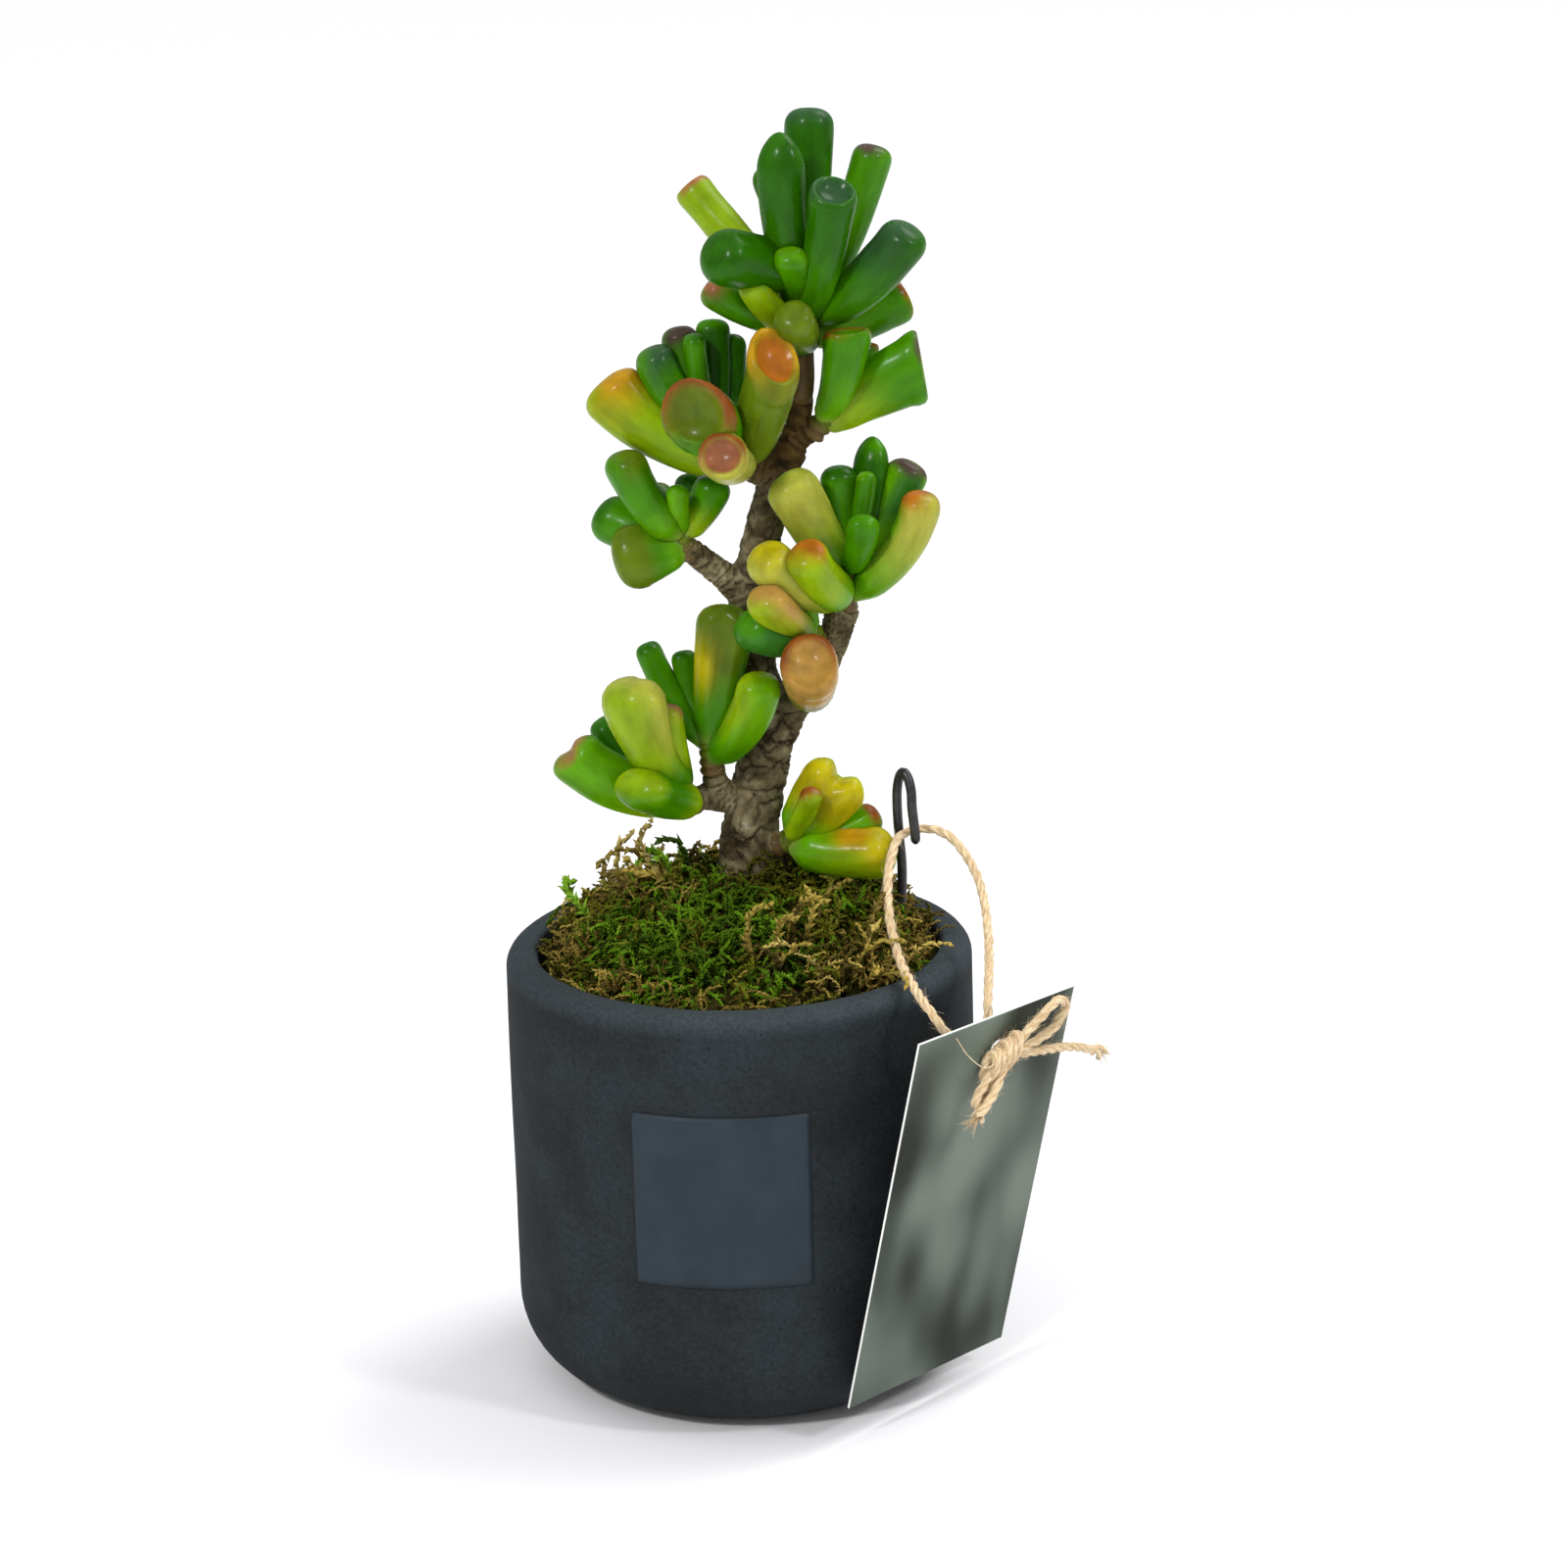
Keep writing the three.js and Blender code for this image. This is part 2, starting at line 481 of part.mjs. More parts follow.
function tagCard() {
  const outline = new THREE.Shape();
  outline.moveTo(-TAG_WIDTH / 2, 0);
  outline.lineTo(TAG_WIDTH / 2, 0);
  outline.lineTo(TAG_WIDTH / 2, TAG_HEIGHT);
  outline.lineTo(-TAG_WIDTH / 2, TAG_HEIGHT);
  outline.closePath();
  const hole = new THREE.Path();
  hole.absarc(TAG_HOLE.x, TAG_HOLE.z, TAG_HOLE.across / 2, 0, 2 * Math.PI, true);
  outline.holes.push(hole);
  const options = { depth: TAG_THICKNESS, bevelEnabled: false, curveSegments: 6 };
  const card = new THREE.ExtrudeGeometry(outline, options);
  return card.translate(0, 0, -TAG_THICKNESS / 2).rotateX(Math.PI / 2);
}

// The bow in the tag's own frame: a knot that fills the hole, two loops and two tails.
function bow() {
  const front = -BOW_STAND;
  const knot = new THREE.SphereGeometry(1, 10, 7);
  knot.scale(...KNOT_RADII).translate(TAG_HOLE.x - KNOT_SHIFT, front, TAG_HOLE.z);
  const plugLength = BOW_STAND + PLUG_BACK;
  const plug = new THREE.CylinderGeometry(PLUG_RADIUS, PLUG_RADIUS, plugLength, 10);
  plug.translate(TAG_HOLE.x, PLUG_BACK - plugLength / 2, TAG_HOLE.z);
  const bigLoop = [
    [3, front, 81], [9.6, front - 1, 86.5], [15, front - 1.6, 90.4], [18.6, front - 1.6, 88.6],
    [16.6, front - 1.2, 83.4], [4, front, 79.6],
  ];
  const smallLoop = [
    [1, front, 79.5], [-4, front - 0.8, 76.8], [-8.4, front - 1.4, 72], [-6.4, front - 1.4, 70.4],
    [-1.4, front - 0.6, 74.4], [1.6, front, 79],
  ];
  const longTail = [
    [3, front, 79.6], [13, front - 0.8, 78.4], [25, front - 1.4, 76.4], [36.6, front - 1.6, 72],
  ];
  const shortTail = [[1, front - 0.8, 79], [-4.4, front - 3, 73.6], [-9.4, front - 3.4, 69.4]];
  const strands = [bigLoop, smallLoop, longTail, shortTail];
  const tubes = strands.map((points) => solidOf(tube(points, TWINE, 2 * points.length)));
  return fuse([solidOf(knot), solidOf(plug), ...tubes]);
}

// ---------------------------------------------------------------- the object
const finish = (looks) => new THREE.MeshStandardMaterial(looks);
const CONCRETE = finish({ name: 'concrete', color: '#34383e', roughness: 0.85 });
const FILM = finish({ name: 'label film', color: '#4a5058', roughness: 0.5 });
const EARTH = finish({ name: 'soil', color: '#3a2c20', roughness: 1 });
const MOSS = finish({ name: 'moss', color: '#58701f', roughness: 1 });
const BARK = finish({ name: 'bark', color: '#83725f', roughness: 0.9 });
const LEAF = finish({ name: 'leaf', color: '#6d9a30', roughness: 0.35 });
const STEEL = finish({ name: 'black wire', color: '#1b1b1d', roughness: 0.4, metalness: 0.6 });
const JUTE = finish({ name: 'jute', color: '#c79f62', roughness: 0.95 });
const CARD = finish({ name: 'card', color: '#6a7a70', roughness: 0.6 });

function node(name, geometry, material) {
  const mesh = new THREE.Mesh(geometry, material);
  mesh.name = name;
  return mesh;
}

const bonsai = new THREE.Group();
bonsai.add(node('pot', pot(), CONCRETE));
bonsai.add(node('pot_label', potLabel(), FILM));

const wood = trunk();
const woodRoom = trunk(GAP);
const hookRoom = solidOf(hook(GAP));
bonsai.add(node('trunk', geometryOf(wood), BARK));
bonsai.add(node('soil', geometryOf(soil().subtract(woodRoom).subtract(hookRoom)), EARTH));
bonsai.add(node('moss', geometryOf(largest(moss().subtract(woodRoom).subtract(hookRoom))), MOSS));

// Each shoot is trimmed where it would come nearer than the gap to what grew before it.
const rooms = [woodRoom];
for (const [name, plan] of Object.entries(SHOOTS)) {
  const trimmed = rooms.reduce((rest, room) => rest.subtract(room), shoot(plan));
  bonsai.add(node(name, geometryOf(largest(trimmed)), LEAF));
  rooms.push(shoot(plan, GAP));
}

bonsai.add(node('wire_hook', hook(), STEEL));
bonsai.add(node('twine', tube(TWINE_ROUTE, TWINE, TWINE_STEPS), JUTE));

const tag = new THREE.Group();
tag.position.set(...TAG_FOOT);
tag.rotation.set(radians(TAG_LEAN), radians(TAG_TILT), radians(TAG_TURN), 'ZXY');
tag.add(node('tag_card', tagCard(), CARD));
tag.add(node('twine_bow', geometryOf(bow()), JUTE));
bonsai.add(tag);

export default bonsai;
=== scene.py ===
import bisect
import math
import random

import bmesh
import bpy
from bpy.props import FloatProperty, FloatVectorProperty, IntProperty, PointerProperty
from bpy.types import Operator, Panel, PropertyGroup
from mathutils import Matrix, Vector, kdtree, noise
from mathutils.geometry import interpolate_bezier


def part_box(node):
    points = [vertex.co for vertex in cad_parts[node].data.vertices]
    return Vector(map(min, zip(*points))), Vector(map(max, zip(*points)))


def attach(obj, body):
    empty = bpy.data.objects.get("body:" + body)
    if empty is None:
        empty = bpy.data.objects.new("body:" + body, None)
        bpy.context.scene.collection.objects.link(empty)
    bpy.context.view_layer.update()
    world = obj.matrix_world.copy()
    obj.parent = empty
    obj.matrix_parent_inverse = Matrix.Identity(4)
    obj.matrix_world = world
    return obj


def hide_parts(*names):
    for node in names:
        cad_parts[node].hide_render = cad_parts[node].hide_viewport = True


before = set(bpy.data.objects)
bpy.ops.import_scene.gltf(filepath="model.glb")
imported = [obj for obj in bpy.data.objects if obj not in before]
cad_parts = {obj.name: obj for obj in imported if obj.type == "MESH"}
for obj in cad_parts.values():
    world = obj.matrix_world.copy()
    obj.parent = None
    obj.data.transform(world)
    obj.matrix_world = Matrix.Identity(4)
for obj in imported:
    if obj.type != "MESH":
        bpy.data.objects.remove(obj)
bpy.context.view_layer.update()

bl_info = {
    "name": "Potted jade bonsai",
    "version": (1, 0, 0),
    "blender": (4, 5, 0),
    "location": "View3D > Sidebar > Bonsai",
    "description": "Dresses the frame of a jade bonsai in its concrete pot, with moss, a tag and twine",
    "category": "Object",
}

MM = 0.001                             # leaf, limb and bow plans are in millimetres
SPAN_STEPS = 14                        # points of a route between two of its knots
SHADER = "Principled BSDF"             # the node that every new material starts with
RIM_LIGHT_AND_DUST = (0.094, 0.0975)            # heights between which the rim turns paler: painted light on its top, partly paler dust
RIM_LIGHT_AND_DUST_SHARE = 0.3                  # how pale it turns

# ------------------------------------------------------------------ routes and plans
# The twine's way over the hook, in metres: from behind the card and back to it.
TWINE_ROUTE = [
    (0.0512, -0.0402, 0.0860), (0.0478, -0.0442, 0.0884), (0.0449, -0.0479, 0.0916),
    (0.0432, -0.0491, 0.0939), (0.0417, -0.0492, 0.0960), (0.0404, -0.0479, 0.0979),
    (0.0390, -0.0456, 0.0992), (0.0372, -0.0398, 0.1008), (0.0350, -0.0315, 0.1030),
    (0.0335, -0.0250, 0.1074), (0.0328, -0.0190, 0.1122), (0.0330, -0.0148, 0.1164),
    (0.0336, -0.0114, 0.1192), (0.0347, -0.0074, 0.1216), (0.0360, -0.0036, 0.1229),
    (0.0379, -0.0008, 0.1232), (0.0406, 0.0012, 0.1232), (0.0440, 0.0016, 0.1230),
    (0.0474, 0.0004, 0.1216), (0.0504, -0.0026, 0.1188), (0.0528, -0.0078, 0.1152),
    (0.0540, -0.0140, 0.1114), (0.0544, -0.0210, 0.1068), (0.0541, -0.0290, 0.1018),
    (0.0535, -0.0346, 0.0984), (0.0531, -0.0378, 0.0946), (0.0529, -0.0392, 0.0904),
]
TWINE_DIAMETER = 0.0022
HOOK_ROUTE = [
    (0.0356, 0.0016, 0.0660), (0.0356, 0.0016, 0.0970), (0.0366, 0.0016, 0.1080),
    (0.0368, 0.0016, 0.1150), (0.0363, 0.0016, 0.1220), (0.0360, 0.0016, 0.1283),
    (0.0361, 0.0014, 0.1330), (0.0367, 0.0007, 0.1360), (0.0375, -0.0002, 0.1370),
    (0.0384, -0.0012, 0.1358), (0.0390, -0.0022, 0.1330), (0.0391, -0.0027, 0.1295),
    (0.0395, -0.0030, 0.1253), (0.0398, -0.0030, 0.1212),
]
WIRE_DIAMETER = 0.0022

# The card stands on the middle of its lower edge: turned about Z, leant, then tilted.
TAG_SIZE = (0.054, 0.089)
TAG_FOOT = (0.0386, -0.033, 0.0079)
TAG_TURN, TAG_LEAN, TAG_TILT = 48, 12, 2.5
TAG_HOLE = (0.002, 0.080)              # across and up from the middle of its lower edge
TAG_HOLE_ACROSS = 0.005
CARD_THICKNESS = 0.0005

# Limbs, as [x, y, z, radius] in mm, with the spacing of their rings of leaf scars.
LIMBS = [
    (3.6, [(2.4, 8, 84, 6.8), (2.4, 8, 100, 7.2), (2.6, 8, 112, 7), (3.6, 7.5, 124, 6.4),
           (5.2, 7, 133, 5.9), (7.8, 6.2, 142, 5.6), (7.4, 5.6, 151, 4.9), (5.2, 5, 162, 4.7),
           (4.4, 5, 175, 4.7), (6.6, 4, 186, 4.2), (9.4, 3.4, 196, 4.1), (12, 3, 204, 4.2),
           (15, 3, 211, 3.5), (16.4, 3, 217, 2.9), (17, 3, 222, 2.7)]),
    (2.6, [(7.8, 6.2, 142, 4.8), (12.4, 5, 151, 4.6), (17, 3.2, 157.4, 4.2), (22, 1.2, 166, 3.8),
           (25.3, 0, 175, 3.6)]),
    (1.7, [(4.4, 5, 176, 3.4), (-2.2, 3.4, 183.2, 3), (-8.4, 2, 188.6, 2.7)]),
    (1.8, [(11.4, 3, 203.4, 3.6), (4.6, 1.2, 206.8, 3)]),
    (1.8, [(15, 3, 211, 3), (17.6, 2, 213.2, 2.7), (20.2, 1, 214.8, 2.5)]),
    (2.2, [(4.6, 7, 128, 3.8), (-3.5, 3.4, 131.4, 3.3), (-9, -0.8, 132.4, 2.8)]),
    (1.8, [(-1.6, 4, 132, 2.8), (-3.8, 1, 136, 2.8), (-4.6, -0.2, 140.2, 2.6)]),
    (1.8, [(5, 7, 117, 3.2), (8.6, 4.6, 119.4, 2.9), (11, 2.9, 120.6, 2.6)]),
]

# Leaf skins by name.  Strong light turns jade leaves from green to yellow, orange and red.
SKIN = {
    "deep": "#235800", "green": "#3d7800", "fresh": "#568f02", "lime": "#7c9806",
    "yellow": "#a89c0c", "olive": "#566a0c", "tan": "#a5803c", "orange": "#9e5c16",
    "rust": "#7a4014", "plum": "#45362f", "pink": "#8f5a3c", "glass": "#2e661a",
    "slate": "#2b4f2a", "straw": "#9c9e3a", "amber": "#ab800f", "pale": "#93a04a", "brown": "#5c4a2c",
}
VIEWER = (0, -1, 0.3)                  # the front, where the plant shows its best side


def leaf(up, tip, wide, thick=0.8, bow=1.5, cut=0, full=0.5, face=None, crease=0.0, cleft=0.0,
         body="green", end="olive", reach=0.1, root=None, ridge=None, flank=None, dish=None):
    """One leaf: height of its root on the stem, middle of its end and width, in mm.  Its
    form: thickness over width, sag in mm, lean of the mouth towards the upper side in
    degrees, fullness of the lower half, where the upper side looks (up, unless it is given),
    depth of the crease along that side, over the half thickness, and of the cleft in its
    end, in mm.  Its skins: body, end with its share of the length, root, ridge (upper side),
    flank (one side) and dish (inside the mouth), which are the body's unless given."""
    return dict(up=up, tip=tip, wide=wide, thick=thick, bow=bow, cut=cut, full=full, face=face,
                crease=crease, cleft=cleft, body=body, end=end, reach=reach, root=root or body,
                ridge=ridge or body, flank=flank or body, dish=dish or body)


# Shoots: the stem's [x, y, z, radius] in mm, then club leaves, which end round, lance
# leaves, which end in a point, and horn leaves, which widen to a dished mouth.
SHOOTS = {
    "shoot_crown": {
        "stem": [(17.1, 3, 222.6, 2.5), (18, 3, 232, 2.3), (19, 3, 242, 2.2), (19.5, 3, 250, 1.8)],
        "clubs": [
            leaf(20, (20.3, 10, 281.4), 10.8, 0.9, 0.5, body="deep", end="slate", root="green"),
            leaf(16, (33.9, 8, 273.4), 8.6, 1, full=0.6, end="plum", reach=0.07),
            leaf(16, (40.4, -8, 258.4), 10.4, 1.05, 2.5, full=0.7, body="deep", end="slate", reach=0.3,
                 root="green"),
            leaf(28, (-0.7, -13, 255.6), 12, 1.05, 1, full=0.7, body="deep", end="deep", root="green"),
            leaf(18, (15, -10, 254.4), 8, bow=0.5, full=0.7, end="fresh"),
            leaf(12, (6.9, -8, 248.6), 6.8, 1, full=0.8, body="lime", end="green", root="yellow"),
            leaf(11, (15.6, -14, 242.2), 9, 1, 1, full=0.8, body="olive", root="deep"),
            leaf(14, (-2, 4, 245.4), 7.4, 1, full=0.8, end="pink", reach=0.16),
            leaf(26, (12, 19, 268), 9, body="deep", end="green"),
            leaf(22, (28, 21, 262), 9.4, body="deep", end="plum", reach=0.05),
            leaf(13, (16, 23, 244), 9.6, bow=2.5),
        ],
        "lances": [
            leaf(14, (13.9, -6, 278.8), 10.4, 0.8, 3.4, crease=0.25, body="deep", end="deep",
                 reach=0.3, root="green"),
        ],
        "horns": [
            leaf(14, (24.5, -14, 267.6), 10.2, 0.95, cut=-34, body="deep", end="slate", reach=0.05,
                 root="green", dish="slate"),
            leaf(12, (38.8, 12, 240.6), 9, 1.15, 2, cut=-18, end="rust", reach=0.06, root="fresh"),
            leaf(16, (-4.9, 17, 264.4), 8.4, 1, 0.5, full=0.8, body="lime", end="pink", reach=0.08),
        ],
    },
    "shoot_crown_right": {
        "stem": [(20.6, 0.9, 215.1, 2.6), (23, 0.4, 218, 2.2)],
        "horns": [
            leaf(2, (26.8, -6, 236.2), 11.4, cut=14, full=0.4, end="rust", reach=0.05, root="fresh"),
            leaf(1, (42.3, 0, 227.5), 9.2, 1.74, -0.8, cut=-24, full=0.3, end="plum", reach=0.04,
                 root="lime"),
            leaf(3, (30, 13, 230), 9, cut=20, end="rust", reach=0.08),
        ],
    },
    "shoot_upper_left": {
        "stem": [(4, 0.9, 207.5, 2.8), (-1, 0, 211, 2.6), (-4, 1, 218, 2)],
        "clubs": [
            leaf(2, (-24.8, 4, 225.2), 10, 1.44, 3, full=0.6, body="fresh", end="amber", reach=0.2,
                 root="lime", flank="lime"),
            leaf(9, (-8.6, 6, 235.8), 8.4, 0.9, full=0.8, end="plum", reach=0.14),
            leaf(6, (-14.6, 2, 232.4), 10, 0.9, full=0.7, end="slate", reach=0.2, root="fresh"),
            leaf(7, (-1.6, 8, 236.8), 7.6, bow=1, full=0.7, body="deep", end="green"),
            leaf(4, (2.1, 10, 233.1), 7, full=0.7, body="deep", end="deep"),
            leaf(8, (-5.6, 0, 235.3), 6, bow=0.5, full=0.8, end="deep"),
            leaf(5, (-9, 18, 225), 9),
        ],
        "horns": [
            leaf(3, (-5.4, -16, 222), 17.4, 0.8, -0.6, cut=-35, full=0.2, end="rust", reach=0.07,
                 root="olive", dish="olive"),
            leaf(1, (-0.3, -20, 214), 11, 0.95, 1, full=0.8, body="straw", end="rust", reach=0.06,
                 root="olive", dish="pink"),
            leaf(1, (11, -16, 233.2), 11.8, 1.1, 2, cut=-52, full=0.6, body="olive", end="amber",
                 dish="orange"),
            leaf(4, (-18, 14, 219), 9, cut=20, end="pink"),
        ],
    },
    "shoot_left": {
        "stem": [(-8.7, 1.9, 189, 2.4), (-10.4, 1.2, 193, 2)],
        "clubs": [
            leaf(3, (-21.4, -3, 210.6), 10.4, 0.9, 2, full=0.75, reach=0.14, root="fresh"),
            leaf(2, (-27, 8, 196), 10.6, 1, full=0.7, end="deep"),
            leaf(1, (-23.6, -1, 187.2), 14.8, 0.55, 0.5, full=0.2, face=VIEWER, reach=0.3,
                 root="fresh"),
            leaf(3, (-2.4, 4, 203), 8.4, 0.95, 1, full=0.7, end="deep", root="lime"),
            leaf(3, (-10.3, -4, 203), 5, bow=0.5, full=0.8, body="fresh", end="green"),
            leaf(3, (-7, 12, 202), 8, full=0.7, body="deep", end="deep"),
            leaf(2, (-16, 15, 199), 9),
        ],
    },
    "shoot_right": {
        "stem": [(25.4, 0, 175.4, 2.8), (26.6, 0, 181, 2.6), (27, 0.5, 188, 2)],
        "clubs": [
            leaf(9, (25, 3, 204.7), 8.6, 0.9, 1, full=0.7, end="deep"),
            leaf(11, (30.6, -1, 204.1), 5.4, bow=0.5, full=0.8, end="fresh"),
            leaf(8, (29.3, -11, 197), 7, bow=2, full=0.6, end="green"),
            leaf(5, (13.8, -8, 204.9), 11.6, 0.75, 2, full=0.6, face=VIEWER, crease=0.15, body="lime",
                 end="straw", reach=0.4, root="green"),
            leaf(2, (7.8, -13, 190.6), 11.4, 0.9, 2, full=0.8, body="straw", end="yellow",
                 root="lime"),
            leaf(2, (16.8, -17, 191.7), 9, 1.1, 2, full=0.9, body="lime", end="orange", root="fresh",
                 ridge="yellow"),
            leaf(6, (40.6, 4, 204.8), 9.8, 0.7, 2, full=0.7, face=VIEWER, body="fresh", end="plum",
                 reach=0.06, ridge="glass"),
            leaf(2, (42.2, -6, 200.6), 9.6, 0.9, 3.5, full=0.8, body="straw", end="orange", reach=0.15,
                 root="fresh", ridge="fresh", flank="tan"),
            leaf(8, (31, 17, 199), 9, bow=2),
            leaf(5, (20, 16, 195), 9.6, bow=2, end="plum", reach=0.06),
        ],
        "lances": [
            leaf(7, (32.3, 6, 210.4), 8.6, 0.8, 1, full=0.6, body="deep", end="green"),
        ],
    },
    "shoot_trunk_front": {
        "stem": [(18.8, -2.2, 168.4, 2.4), (17.6, -4.2, 171.5, 2.1)],
        "clubs": [
            leaf(1, (3.6, -12, 174.6), 11, 0.9, 1, full=0.8, body="glass", end="green"),
            leaf(3, (17, -6, 179), 4.6, bow=0.2, full=0.8, body="fresh", end="straw"),
            leaf(3, (7.2, -17, 182), 9.4, 0.95, 1, body="lime", end="tan", reach=0.5, root="green"),
        ],
    },
    "shoot_fork_front": {
        "stem": [(17.4, -1.6, 156.4, 2.4), (17.4, -4, 159, 2.2)],
        "horns": [
            leaf(1, (17, -17.6, 167.2), 13.2, 1.18, 0, full=0.7, cut=8, body="tan", end="rust",
                 reach=0.05, root="olive"),
        ],
    },
    "shoot_lower_left_upright": {
        "stem": [(-4.7, -0.4, 140.8, 2.6), (-5, -1.4, 146, 2.3)],
        "clubs": [
            leaf(3, (-0.7, -5, 176), 12.4, 0.7, 1, full=0.4, face=VIEWER, crease=0.55, body="fresh",
                 reach=0.2, root="green", ridge="olive", flank="yellow"),
            leaf(1, (6, -10, 162.3), 10.6, 0.9, 3, full=0.7, body="fresh", end="lime", reach=0.4,
                 root="green", ridge="lime"),
            leaf(3, (-18, 6, 165.7), 7.2, full=0.8, end="deep"),
            leaf(4, (-10.1, 7, 163.4), 6, full=0.8, end="deep"),
            leaf(3, (-9, 14, 157), 9),
        ],
    },
    "shoot_lower_left": {
        "stem": [(-9.4, -1.1, 132.5, 2.7), (-12, -2.4, 134.5, 2.4)],
        "clubs": [
            leaf(2, (-14.2, -9, 155.5), 7.6, 1, full=0.8, body="lime", end="pink", reach=0.14,
                 root="green"),
            leaf(3, (-21.8, -12, 162.2), 14.8, 0.85, 2, full=0.6, crease=0.25, body="lime",
                 end="straw", reach=0.4, root="green", ridge="yellow"),
            leaf(2, (-28.6, 6, 149), 9, bow=2, body="deep", end="deep"),
            leaf(1, (-21.4, -15, 140.4), 14.4, 0.68, 1, full=0.9, end="lime", root="lime",
                 ridge="lime"),
            leaf(1.5, (-35.6, -4, 145.4), 9.2, 1.36, 3, full=0.8, cleft=1.8, body="fresh", end="pink",
                 reach=0.05, root="lime", ridge="green"),
            leaf(1, (-20, 13, 142), 9),
        ],
    },
    "shoot_lower_right": {
        "stem": [(11.3, 2.7, 120.8, 2.6), (13.4, 1.6, 121.8, 2.3)],
        "clubs": [
            leaf(2, (23.8, -3, 138), 14.8, 0.65, 1, full=0.6, face=VIEWER, crease=0.3, cleft=2.6,
                 body="lime", end="yellow", reach=0.4, root="fresh"),
            leaf(1, (16.9, -8, 135), 5.4, 0.9, 0.5, full=0.8, body="lime", end="rust", reach=0.2),
            leaf(2, (31, 2, 126.8), 8, 0.9, full=0.7, body="fresh", end="rust", root="lime"),
            leaf(1, (23, 15, 130), 9),
            leaf(1, (34, -3.6, 120), 12.4, 0.95, full=0.9, body="lime", end="yellow", reach=0.16,
                 ridge="amber", root="fresh"),
        ],
    },
}
CAP = 0.79                             # where the rounding of a leaf's end starts in OUTLINES
CAP_SPAN = {"clubs": 0.8, "lances": 1.3, "horns": 0.6}    # its length over the half width

# Outlines of half a leaf, as (part of the half width, part of the length).
OUTLINES = {
    "clubs": [(0, 0), (0.3, 0.004), (0.46, 0.04), (0.54, 0.13), (0.66, 0.3), (0.83, 0.5), (0.96, 0.68),
              (1, CAP), (0.97, 0.86), (0.86, 0.92), (0.66, 0.966), (0.38, 0.992), (0, 1)],
    "lances": [(0, 0), (0.3, 0.004), (0.46, 0.04), (0.56, 0.13), (0.74, 0.34), (0.94, 0.58), (1, 0.7),
               (0.98, CAP), (0.82, 0.88), (0.52, 0.95), (0.24, 0.988), (0, 1)],
    "horns": [(0, 0), (0.3, 0.004), (0.44, 0.04), (0.5, 0.13), (0.6, 0.3), (0.76, 0.52), (0.92, 0.7),
              (0.99, CAP), (1, 0.86), (0.975, 0.93), (0.91, 0.98), (0.83, 1), (0.73, 0.98), (0.56, 0.92),
              (0.3, 0.875), (0, 0.86)],
}


# ------------------------------------------------------------------ settings
def linear(code):
    """An sRGB colour such as "#34383e", as linear red, green and blue."""
    parts = [int(code[i:i + 2], 16) / 255 for i in (1, 3, 5)]
    return tuple(p / 12.92 if p <= 0.04045 else ((p + 0.055) / 1.055) ** 2.4 for p in parts)


def colour(name, description, code):
    """A colour setting."""
    return FloatVectorProperty(name=name, description=description, subtype="COLOR", size=3,
                               min=0, max=1, default=linear(code))


def length(name, description, default):
    """A length setting, in metres."""
    return FloatProperty(name=name, description=description, unit="LENGTH", min=0, default=default)


class PotSettings(PropertyGroup):
    wall: length("Wall", "Thickness of the pot's wall", 0.0072)
    floor: length("Floor", "Thickness of the pot's floor", 0.010)
    foot: length("Foot", "Radius of the rounded foot", 0.019)
    lip: length("Lip", "Radius of the rim's outer edge", 0.0036)
    concrete: colour("Concrete", "Dyed concrete", "#232628")
    bloom: colour("Bloom", "Lighter cement bloom on the concrete", "#2c3337")
    film: colour("Film", "Label film", "#29333a")


class PlantSettings(PropertyGroup):
    seed: IntProperty(name="Seed", description="Draw that makes leaves and bark uneven", default=7)
    plate: colour("Plate", "Bark plates", "#5c5230")
    # the cracks' dark colour, also painted as shade in leaf-scar grooves and low ground between plates
    crack_and_shade: colour("Crack", "Cracks in the bark", "#2b2214")
    young: colour("Young bark", "Bark near the crown", "#544020")


class MossSettings(PropertyGroup):
    seed: IntProperty(name="Seed", description="Draw that places the sprigs", default=11)
    green: colour("Green", "Fresh moss", "#587f10")
    shade: colour("Shade", "Old moss", "#565a10")
    dry: colour("Dry", "Dry moss", "#94823a")


class TagSettings(PropertyGroup):
    light: colour("Light", "Light parts of the print", "#aebfae")
    dark: colour("Dark", "Dark parts of the print", "#1f2a16")
    paper: colour("Paper", "Cut edge of the card", "#f2f2ee")
    jute: colour("Jute", "Jute fibre", "#efc88b")
    wire: colour("Wire", "Black enamel", "#17171a")


class StageSettings(PropertyGroup):
    floor: colour("Floor", "Plain floor", "#f4f4f6")
    sky: FloatProperty(name="Sky", description="Strength of the even light", min=0, default=0.64)
    key: FloatProperty(name="Key", description="Strength of the sun-like key light", min=0, default=1.5)


